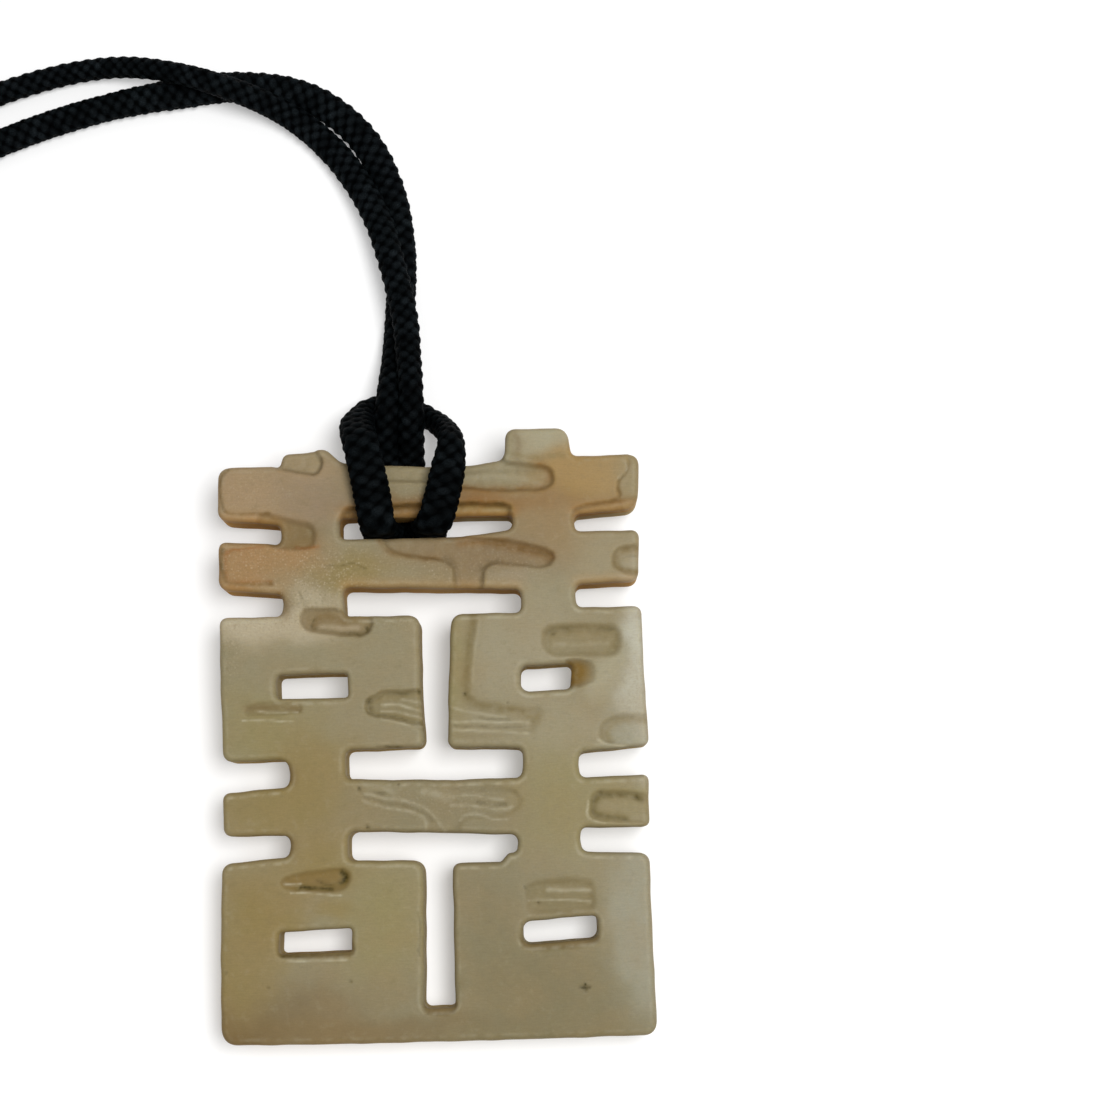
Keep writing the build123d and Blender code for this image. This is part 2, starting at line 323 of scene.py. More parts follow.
def cord_places(line):
    """Places along the line, close together where the cord is seen."""
    along = lengths_along(line)
    seen = np.interp(np.arange(0, along[-1], SAMPLE_STEP), along, (line[:, 0] > SEEN_FROM_X).astype(float))
    step = np.where(seen > 0.5, CORD_FINE_STEP, CORD_COARSE_STEP)
    turns = np.concatenate([[0], np.cumsum(SAMPLE_STEP / step)])
    count = int(turns[-1])
    return np.interp(np.linspace(0, turns[-1], count), turns, np.linspace(0, along[-1], len(turns)))


def carried_frames(points):
    """Tangent and two normals at each point, carried along without twist."""
    tangents = unit(np.gradient(points, axis=0))
    normals = [unit(np.cross(tangents[0], (0, 0, 1.0)))]
    for tangent in tangents[1:]:
        normals.append(unit(normals[-1] - tangent * (normals[-1] @ tangent)))
    normals = np.array(normals)
    return tangents, normals, np.cross(tangents, normals)


def braid_relief(angle, along):
    """Height of the braid's surface, the place across the yarn on top, and which it is."""
    a = CARRIERS * (angle / (2 * math.pi) - along / BRAID_LAY)
    b = CARRIERS * (angle / (2 * math.pi) + along / BRAID_LAY)
    i, j = np.floor(a), np.floor(b)
    across_a, across_b = a - i - 0.5, b - j - 0.5

    def crown(across):
        return np.sqrt(np.clip(1 - (YARN_NARROW * across) ** 2, 0, 1)) - 1

    height_a = YARN_RISE * np.cos(math.pi * (b - 0.5 - i)) + YARN_ROUND * crown(across_a)
    height_b = -YARN_RISE * np.cos(math.pi * (a - 0.5 - j)) + YARN_ROUND * crown(across_b)
    on_top = height_a > height_b
    across = np.where(on_top, across_a, across_b)
    yarn = np.where(on_top, np.mod(i, CARRIERS), CARRIERS + np.mod(j, CARRIERS))
    return np.maximum(height_a, height_b) - YARN_RISE, across, yarn.astype(int)


def cord_sides(tangents):
    """Directions across the cord: level to the side, and through its depth."""
    side = np.cross(tangents, (0, 0, 1.0))
    steep = STEEP_PUSH * smooth((np.abs(tangents[:, 2]) - STEEP_FROM) / STEEP_SPAN)
    side[:, 0] += np.where(side[:, 0] < 0, -steep, steep)
    side = unit(side - tangents * np.sum(side * tangents, axis=1, keepdims=True))
    return side, np.cross(tangents, side)


def press(offset, radius, tangents, wide, thick):
    """The round cross-sections made wider and thinner, and boxy where they are pressed hard."""
    side, depth = cord_sides(tangents)
    sideways = np.einsum("ijk,ik->ij", offset, side)
    deep = np.einsum("ijk,ik->ij", offset, depth)
    pressed = np.clip((wide - PRESSED_FROM) / (PRESSED_FULLY - PRESSED_FROM), 0, 1)
    power = (ROUND_POWER + (PRESSED_POWER - ROUND_POWER) * pressed)[:, None]
    boxy = ((np.abs(sideways) / radius) ** power + (np.abs(deep) / radius) ** power) ** (-1 / power)
    widened = (sideways * boxy * (wide[:, None] - 1))[..., None] * side[:, None]
    thinned = (deep * boxy * (thick[:, None] - 1))[..., None] * depth[:, None]
    return offset * boxy[..., None] + widened + thinned


def build_cord(material):
    line = spline_line([row[:3] for row in CORD_ROUTE])
    places, along_line = cord_places(line), lengths_along(line)
    centres = np.stack([np.interp(places, along_line, line[:, k]) for k in range(3)], 1)
    tangents, normals, binormals = carried_frames(centres)
    knots = [along_line[np.argmin(np.linalg.norm(line - row[:3], axis=1))] for row in CORD_ROUTE]
    wide, thick = (np.interp(places, knots, [row[k] for row in CORD_ROUTE]) for k in (3, 4))

    count, around = len(places), CORD_AROUND
    angle = np.tile(np.arange(around) * 2 * math.pi / around, (count, 1))
    along = np.tile(places[:, None], (1, around))
    height, across, yarn = braid_relief(angle, along)
    ruffle = [noise.noise(Vector((p * RUFFLE_ALONG, q * RUFFLE_AROUND, 4.0)))
              for p, q in zip(along.flat, angle.flat)]
    height = height + RUFFLE * np.reshape(ruffle, angle.shape)
    radius = CORD_DIAMETER / 2 + CROWN + height
    spoke = np.cos(angle)[..., None] * normals[:, None] + np.sin(angle)[..., None] * binormals[:, None]
    offset = press(radius[..., None] * spoke, radius, tangents, wide, thick)
    points = (centres[:, None] + offset).reshape(-1, 3)
    points[:, 2] = np.maximum(points[:, 2], LOWEST)
    cord = add_mesh("braided_cord", points, tube_faces(count, around), material)

    top = np.clip(1 + height / (YARN_ROUND + 2 * YARN_RISE), 0, 1)
    tone_and_shade = YARN_TONES * np.random.default_rng(5).random(2 * CARRIERS)[yarn]
    # painted shade: the yarns near the jade are darker than those on the far stretch
    tone_and_shade += np.where(centres[:, 1] < FAR_FROM_Y, NEAR_JADE_SHADE, FAR_TONE)[:, None]
    add_colours(cord.data, "yarn", np.stack([top, across + 0.5, tone_and_shade], -1).reshape(-1, 3))
    return cord, line, along_line[-1]


# The cord's colours, in linear light: painted shade between the yarns, the lit colour on them and a painted
# glint where they shine.
NYLON_CREVICE_SHADE = (0.00002, 0.00003, 0.00004)
NYLON_LIT = (0.0007, 0.0011, 0.0013)
NYLON_GLINT = (0.0078, 0.0104, 0.012)
STRANDS_IN_YARN = 9


def cord_material():
    make = Shading("black_braided_nylon")
    top, across, tone_and_shade = make.channels(make.painted("yarn"))
    place = make.millimetres()
    fuzz = make.noise(place, 9.0, 4.0, 0.65)
    patch = make.noise(place, 0.6, 3.0, 0.6)
    # painted shade: near black in the crevices between the yarns, the lit colour on their crowns
    colour = make.mix(make.remap(top, 0.4, 0.85, 0.0, 1.0), NYLON_CREVICE_SHADE, NYLON_LIT)
    # a painted glint on the crowns of some yarns
    sheen = make.product(
        make.remap(top, 0.72, 0.98, 0.0, 1.0),
        make.remap(fuzz, 0.36, 0.6, 0.5, 1.0),
        make.remap(patch, 0.36, 0.62, 0.45, 1.0),
    )
    colour = make.mix(sheen, colour, NYLON_GLINT)
    # the yarns' own tones, with the painted shade near the jade, and random blotches
    shade = make.product(
        make.remap(tone_and_shade, 0.0, 1.0, 0.5, 1.2),
        make.remap(fuzz, 0.3, 0.7, 0.7, 1.3),
        make.remap(patch, 0.3, 0.7, 0.7, 1.3),
    )
    grey = make.add("CombineColor", {0: shade, 1: shade, 2: shade}).outputs[0]
    strands = make.maths("SINE", make.product(across, STRANDS_IN_YARN * 2 * math.pi))
    relief = make.maths("ADD", make.product(strands, 0.3), fuzz)
    return make.finish({
        "Base Color": make.mix(1.0, colour, grey, "MULTIPLY"),
        "Roughness": make.remap(fuzz, 0.3, 0.7, 0.4, 0.58),
        "Specular IOR Level": 0.01,
        "Normal": make.bump(relief, 0.04),
    })


# Clasp: a plain barrel, the same at both ends. Columns of its half: share of its length,
# radius in millimetres.
CLASP_MIDDLE = (-94.0, -26.0, 2.1)
CLASP_LENGTH = 14.0
CLASP_HALF = [
    (0.0, 1.32), (0.004, 1.5), (0.02, 1.72), (0.05, 1.86), (0.1, 1.93), (0.16, 1.96), (0.2, 1.97),
    (0.206, 1.84), (0.222, 1.84), (0.228, 1.98), (0.25, 2.05), (0.3, 2.08), (0.38, 2.1), (0.47, 2.1),
    (0.492, 2.07), (0.497, 1.95),
]
CLASP_AROUND = 64


def build_clasp(material):
    profile = CLASP_HALF + [(1 - share, radius) for share, radius in CLASP_HALF[::-1]]
    points = []
    for share, radius in profile:
        for k in range(CLASP_AROUND):
            turn = 2 * math.pi * k / CLASP_AROUND
            points.append(((share - 0.5) * CLASP_LENGTH, radius * math.cos(turn), radius * math.sin(turn)))
    faces = tube_faces(len(profile), CLASP_AROUND, flip=True)
    return add_mesh("barrel_clasp", np.array(points) + CLASP_MIDDLE, faces, material)


def clasp_material():
    make = Shading("brushed_clasp_steel")
    place = make.millimetres()
    streaks = make.noise(place, 1.0, 4.0, 0.6, (0.5, 14.0, 14.0))
    rings = make.noise(place, 1.0, 3.0, 0.6, (16.0, 0.6, 0.6))
    return make.finish({
        "Base Color": make.mix(rings, (0.5, 0.5, 0.51), (0.64, 0.64, 0.65)),
        "Roughness": make.remap(streaks, 0.3, 0.7, 0.24, 0.4),
        "Metallic": 1.0,
        "Normal": make.bump(rings, 0.02),
    })


# Jade plate, in its own frame: u across, v up from the lower edge, w up from its back.
# Each corner has its place and its rounding.
PLATE_THICKNESS = 5.0
# It leans on the cord: it rises 2.55 over the 51 between its lower edge and the cord slot.
PLATE_TILT = math.asin(2.55 / 51.0)
PLATE_LIFT = (-29.24, -0.04)
OUTSIDE = [
    (-20.6, 0.3, 1.5), (-9.0, 0.12, 20), (8.0, 0.08, 20), (20.62, 0.15, 1.2), (20.58, 4.0, 20),
    (20.45, 12.0, 20), (20.5, 17.2, 1.0), (14.05, 17.52, 0.65), (13.85, 18.7, 2), (14.05, 19.8, 0.6),
    (20.6, 19.72, 0.65), (20.6, 24.7, 0.6), (14.1, 24.58, 0.65), (13.9, 25.9, 2), (14.05, 27.02, 0.65),
    (20.8, 27.5, 0.65), (20.55, 34.0, 20), (20.5, 41.02, 0.8), (14.2, 41.1, 0.65), (14.1, 42.2, 2),
    (14.2, 43.35, 0.6), (20.35, 43.5, 1.0), (20.5, 48.55, 0.75), (14.3, 48.6, 0.8), (14.15, 49.5, 2),
    (14.3, 50.3, 0.7), (20.5, 50.75, 1.3), (20.8, 56.15, 1.0), (14.1, 56.05, 0.7), (13.8, 58.92, 1.3),
    (7.72, 58.98, 1.0), (7.5, 55.95, 0.9), (4.2, 55.55, 8), (0.0, 55.5, 20), (-5.5, 55.85, 8),
    (-8.5, 56.0, 1.4), (-10.1, 57.42, 1.0), (-14.3, 57.12, 0.7), (-14.65, 55.85, 0.4), (-20.65, 55.85, 1.1),
    (-20.78, 50.62, 1.1), (-14.7, 50.05, 0.7), (-14.55, 49.0, 2), (-14.75, 48.1, 0.6), (-20.65, 48.48, 0.7),
    (-20.7, 43.75, 1.1), (-14.6, 43.15, 0.7), (-14.35, 42.0, 2), (-14.65, 40.95, 0.6), (-20.62, 41.02, 0.8),
    (-20.55, 34.0, 20), (-20.3, 26.98, 0.9), (-14.2, 27.05, 0.8), (-13.85, 25.6, 2), (-14.1, 24.42, 0.7),
    (-20.38, 24.02, 0.7), (-20.3, 19.88, 0.8), (-14.1, 19.85, 0.85), (-13.85, 18.8, 2), (-14.2, 17.75, 0.6),
    (-20.5, 17.3, 1.1), (-20.68, 8.0, 20),
]
OPENINGS = {
    "cord slot": [
        (-8.8, 48.42, 0.6), (-2.0, 48.4, 20), (3.0, 48.42, 10), (6.5, 48.72, 6), (8.15, 48.95, 0.7),
        (8.15, 50.42, 0.6), (-1.0, 50.5, 20), (-8.8, 50.62, 0.6),
    ],
    "upper opening": [
        (-8.5, 25.05, 0.6), (-4.0, 24.88, 20), (2.0, 24.7, 20), (8.3, 24.75, 0.7), (8.65, 26.2, 4),
        (8.5, 27.58, 0.6), (1.35, 27.82, 0.7), (1.55, 34.0, 20), (1.95, 40.82, 1.2), (8.75, 40.7, 0.6),
        (8.75, 43.05, 0.7), (-8.5, 43.65, 0.6), (-8.5, 40.85, 0.6), (-1.1, 40.7, 1.1), (-1.15, 34.0, 20),
        (-0.88, 27.88, 0.8), (-8.5, 27.82, 0.6),
    ],
    "lower opening": [
        (-1.38, 3.2, 0.6), (1.55, 3.2, 0.6), (1.58, 16.78, 0.7), (6.2, 16.76, 0.4), (6.95, 17.55, 0.5),
        (7.8, 17.62, 0.5), (7.95, 19.3, 0.8), (0.0, 19.72, 20), (-8.4, 20.05, 0.8), (-8.35, 17.28, 0.6),
        (-1.15, 17.1, 1.2), (-1.25, 10.0, 20),
    ],
    "upper left eye": [(-15.1, 32.93, 0.4), (-8.2, 32.93, 0.3), (-8.2, 35.28, 0.35), (-15.1, 35.22, 0.5)],
    "upper right eye": [(8.56, 33.0, 0.9), (13.35, 33.1, 0.6), (13.55, 35.6, 0.5), (8.56, 35.5, 0.7)],
    "lower left eye": [(-15.1, 8.65, 0.35), (-8.15, 8.7, 0.25), (-8.15, 10.9, 0.3), (-15.1, 10.7, 0.4)],
    "lower right eye": [(8.15, 8.9, 0.7), (15.25, 9.3, 0.8), (15.3, 11.5, 0.5), (8.2, 11.05, 0.8)],
}
LOOP_STEP = 0.2
STRAIGHT_TURN = 1e-4
GRID_STEP = 0.195
BACK_STEP = 0.55
GRID_CLEARANCE = 0.62
EDGE_ROUNDING = 0.55
REACH_SPREAD = 4
# Rings over the edges, in degrees round the back's and the front's rounding.
BACK_TURNS = (90, 60, 30, 0)
WALL_RINGS = 6
FRONT_TURNS = (0, 15, 30, 45, 60, 75, 90)
# Waves of a hand-cut edge: how far they reach and how long they are.
HAND_WOBBLE = 0.02
HAND_WAVES = (9.0, 6.0, 4.2, 3.0, 2.1)
# How the carving wavers, and the grain that breaks up its floors and lines.
CORNER_CUT = 0.22
JITTER = 0.09
JITTER_SIZE = 1.6
GRAIN_SIZE = 0.8
FLOOR_GRAIN = 0.12
# the depth from which a hollow's sides get their full painted shade
FULL_RIM_DEPTH = 0.45
SPECK_DEPTH = 0.05
# The polished face: its shoulders, its swells (height, length, seed) and the back's waves.
SHOULDER = 0.05
SHOULDER_REACH = 0.6
SWELLS = ((0.035, 6.0, 21), (0.012, 1.3, 22))
BACK_WAVES = 0.02
# Edges: amber bevels that carry painted shade where they face down, a painted dark reflection on the right
# rim, a painted highlight along the rims and how far the walls' tint reaches.
BEVEL_SHADE_REACH = 0.8
BEVEL_SHADE_SHARE = 0.45
RIM_HIGHLIGHT_PLACE = 0.5
RIM_HIGHLIGHT_WIDTH = 0.14
RIM_HIGHLIGHT = 0.12
RIGHT_REFLECTION_FROM = 19.0
RIGHT_REFLECTION_REACH = 0.3
RIGHT_REFLECTION_SHARE = 0.35
WALL_REACH = 0.55
WALL_BLEND = 1.4
WALL_SHARE = 0.85
# How much the plain stone weighs against the patches of tint.
STONE_WEIGHT = 0.45
# Tints of the walls and edges, as seen. The edge tint is a painted dark reflection on the right rim.
WALLS = {
    "amber": (184, 139, 78), "olive": (190, 158, 96), "grey": (174, 156, 114), "edge": (128, 116, 90),
    "bright": (178, 160, 118), "dull": (170, 156, 120),
}

# Carved hollows. Each has a depth, how wide its walls slope, its tint and its corners.
HOLLOWS = {
    "top bar scoop": (0.6, 0.6, "green", [
        (-5.9, 54.8), (-4.4, 54.1), (-0.1, 53.8), (3.3, 53.2), (7.0, 52.8), (11.0, 52.7), (12.0, 53.2),
        (12.3, 53.8), (12.1, 54.7), (11.5, 55.1), (9.8, 55.3), (7.6, 55.5), (7.1, 56.8), (-4.3, 56.9),
        (-5.9, 56.3)]),
    "top bar right end": (0.33, 0.5, "green", [
        (19.9, 57.5), (19.6, 54.3), (18.8, 53.7), (18.5, 52.9), (18.8, 52.2), (18.6, 51.6), (19.5, 49.6),
        (22.5, 49.9), (22.7, 57.4)]),
    "left knob step": (0.55, 0.5, "green", [
        (-15.4, 55.7), (-13.6, 55.4), (-12.4, 55.0), (-11.2, 54.9), (-10.6, 55.4), (-10.4, 56.1),
        (-10.7, 56.8), (-11.5, 58.2), (-13.5, 58.5), (-15.9, 58.0)]),
    "neck side": (0.4, 0.8, "brown", [
        (-16.4, 51.3), (-14.0, 50.4), (-12.4, 50.1), (-11.6, 49.8), (-11.2, 49.1), (-11.3, 47.6),
        (-15.0, 47.6), (-17.2, 49.5)]),
    "second bar groove": (0.45, 0.55, "rose", [
        (-5.1, 49.6), (-4.5, 48.0), (-3.7, 47.0), (-1.9, 46.5), (1.0, 46.1), (2.0, 45.5), (2.4, 44.8),
        (2.4, 42.3), (5.1, 42.3), (5.1, 44.7), (5.5, 45.3), (6.1, 45.6), (9.2, 45.3), (10.8, 45.0),
        (11.8, 45.4), (12.2, 46.2), (11.3, 46.9), (7.9, 47.8), (4.4, 48.2), (2.6, 48.7), (0.0, 49.6)]),
    "second bar right end": (0.36, 0.6, "none", [
        (22.1, 47.0), (19.2, 46.9), (18.1, 46.5), (17.8, 45.7), (18.1, 44.8), (19.0, 44.3), (20.1, 44.0),
        (22.2, 43.9)]),
    "upper left capsule": (0.42, 0.5, "brown", [
        (-12.6, 41.2), (-12.2, 41.7), (-9.0, 41.5), (-8.2, 41.0), (-5.8, 40.7), (-5.6, 40.1), (-6.1, 39.1),
        (-7.1, 38.8), (-9.0, 39.0), (-11.3, 39.3), (-12.4, 39.7), (-12.7, 40.5)]),
    "upper left side": (0.36, 0.42, "olive", [
        (-6.5, 31.9), (-6.3, 32.7), (-5.6, 33.1), (-4.7, 33.4), (1.0, 33.4), (1.0, 28.5), (-0.9, 29.6),
        (-2.5, 30.3), (-4.4, 30.8), (-5.8, 31.0), (-6.4, 31.3)]),
    "upper left ledge": (0.16, 0.4, "olive", [
        (-18.2, 31.8), (-17.5, 32.5), (-15.6, 32.7), (-12.9, 32.5), (-12.6, 32.1), (-12.9, 31.5),
        (-15.6, 31.3), (-18.0, 31.4)]),
    "upper right border": (0.15, 1.0, "none", [
        (4.1, 42.3), (4.2, 40.2), (3.9, 37.9), (3.5, 35.0), (3.3, 33.0), (3.7, 32.1), (5.3, 31.7),
        (8.4, 31.2), (10.3, 31.3), (10.3, 30.7), (9.6, 29.1), (8.7, 28.9), (1.8, 28.9), (-0.4, 28.9),
        (-0.4, 42.5)]),
    "upper right capsule": (0.3, 0.9, "olive", [
        (10.8, 37.7), (11.0, 38.8), (11.6, 39.3), (17.5, 39.2), (18.2, 38.7), (18.3, 37.5), (17.9, 36.5),
        (16.8, 36.3), (12.1, 36.4), (11.2, 36.8)]),
    "upper right corner": (0.3, 0.75, "none", [
        (22.0, 30.4), (17.6, 30.4), (16.6, 29.9), (16.1, 29.1), (16.2, 28.2), (16.7, 27.7), (19.0, 27.6),
        (22.0, 27.6)]),
    "lower bar groove": (0.16, 0.7, "none", [
        (-7.6, 26.3), (-7.3, 23.7), (-5.5, 22.9), (-2.4, 22.4), (-1.0, 21.4), (-0.6, 18.7), (2.3, 18.6),
        (2.4, 20.8), (3.4, 21.1), (6.2, 21.0), (8.0, 21.7), (8.4, 22.7), (7.4, 23.6), (4.6, 24.1),
        (0.6, 26.3)]),
    "lower bar right end": (0.3, 0.55, "green", [
        (14.9, 21.7), (15.1, 22.9), (15.8, 23.3), (18.8, 23.0), (22.7, 22.4), (22.6, 19.9), (18.3, 20.1),
        (15.5, 20.5), (14.9, 20.9)]),
    "lower left capsule": (0.26, 0.6, "ochre", [
        (-14.9, 15.3), (-14.3, 16.0), (-11.5, 16.4), (-9.0, 16.6), (-8.3, 16.2), (-8.2, 15.5), (-8.6, 14.8),
        (-9.6, 14.4), (-12.4, 14.5), (-14.4, 14.9)]),
    "lower right capsule": (0.22, 0.9, "olive", [
        (8.6, 13.8), (8.9, 14.6), (11.2, 14.9), (14.7, 14.8), (14.9, 14.0), (14.9, 12.0), (13.2, 11.9),
        (9.1, 11.8), (8.7, 12.4)]),
    "lower left eye ledge": (0.13, 0.4, "brown", [
        (-15.2, 9.5), (-15.2, 8.35), (-13.1, 8.25), (-8.1, 8.15), (-7.8, 8.9), (-8.2, 9.8), (-15.1, 10.0)]),
    "lower right eye ledge": (0.25, 0.45, "brown", [
        (7.9, 9.8), (8.1, 8.4), (11.6, 8.5), (15.0, 8.7), (15.6, 9.6), (11.7, 10.2)]),
    "stem foot": (0.3, 0.35, "brown", [(-1.5, 4.0), (-1.3, 2.75), (0.1, 2.6), (1.6, 2.7), (1.8, 3.9)]),
    "top bar chamfer": (0.9, 0.6, "none", [
        (-8.5, 49.6), (7.9, 49.6), (8.0, 51.1), (7.4, 51.45), (4.0, 51.6), (-2.0, 51.6), (-7.6, 51.4),
        (-8.5, 51.1)]),
    "top right chamfer": (0.5, 0.5, "none", [
        (14.0, 50.0), (21.5, 50.0), (21.3, 51.9), (18.6, 51.6), (16.4, 51.2), (14.2, 50.8)]),
}
# The ramp that runs down into the upper right eye.
RAMP_DEPTH = 1.4
RAMP_FOOT = (13.2, 34.65)
RAMP_REACH = (2.7, 1.5)
RAMP_STEEPNESS = 1.3
RAMP_FROM = 12.9
RAMP_BLEND = 0.5
# Tints of the hollows' floors, as seen, and how strong each is.
FLOORS = {
    "green": ((150, 139, 108), 0.5), "brown": ((128, 110, 74), 0.7), "rose": ((136, 116, 86), 0.5),
    "olive": ((134, 122, 86), 0.55), "ochre": ((128, 105, 56), 0.75), "none": ((0, 0, 0), 0.0),
}
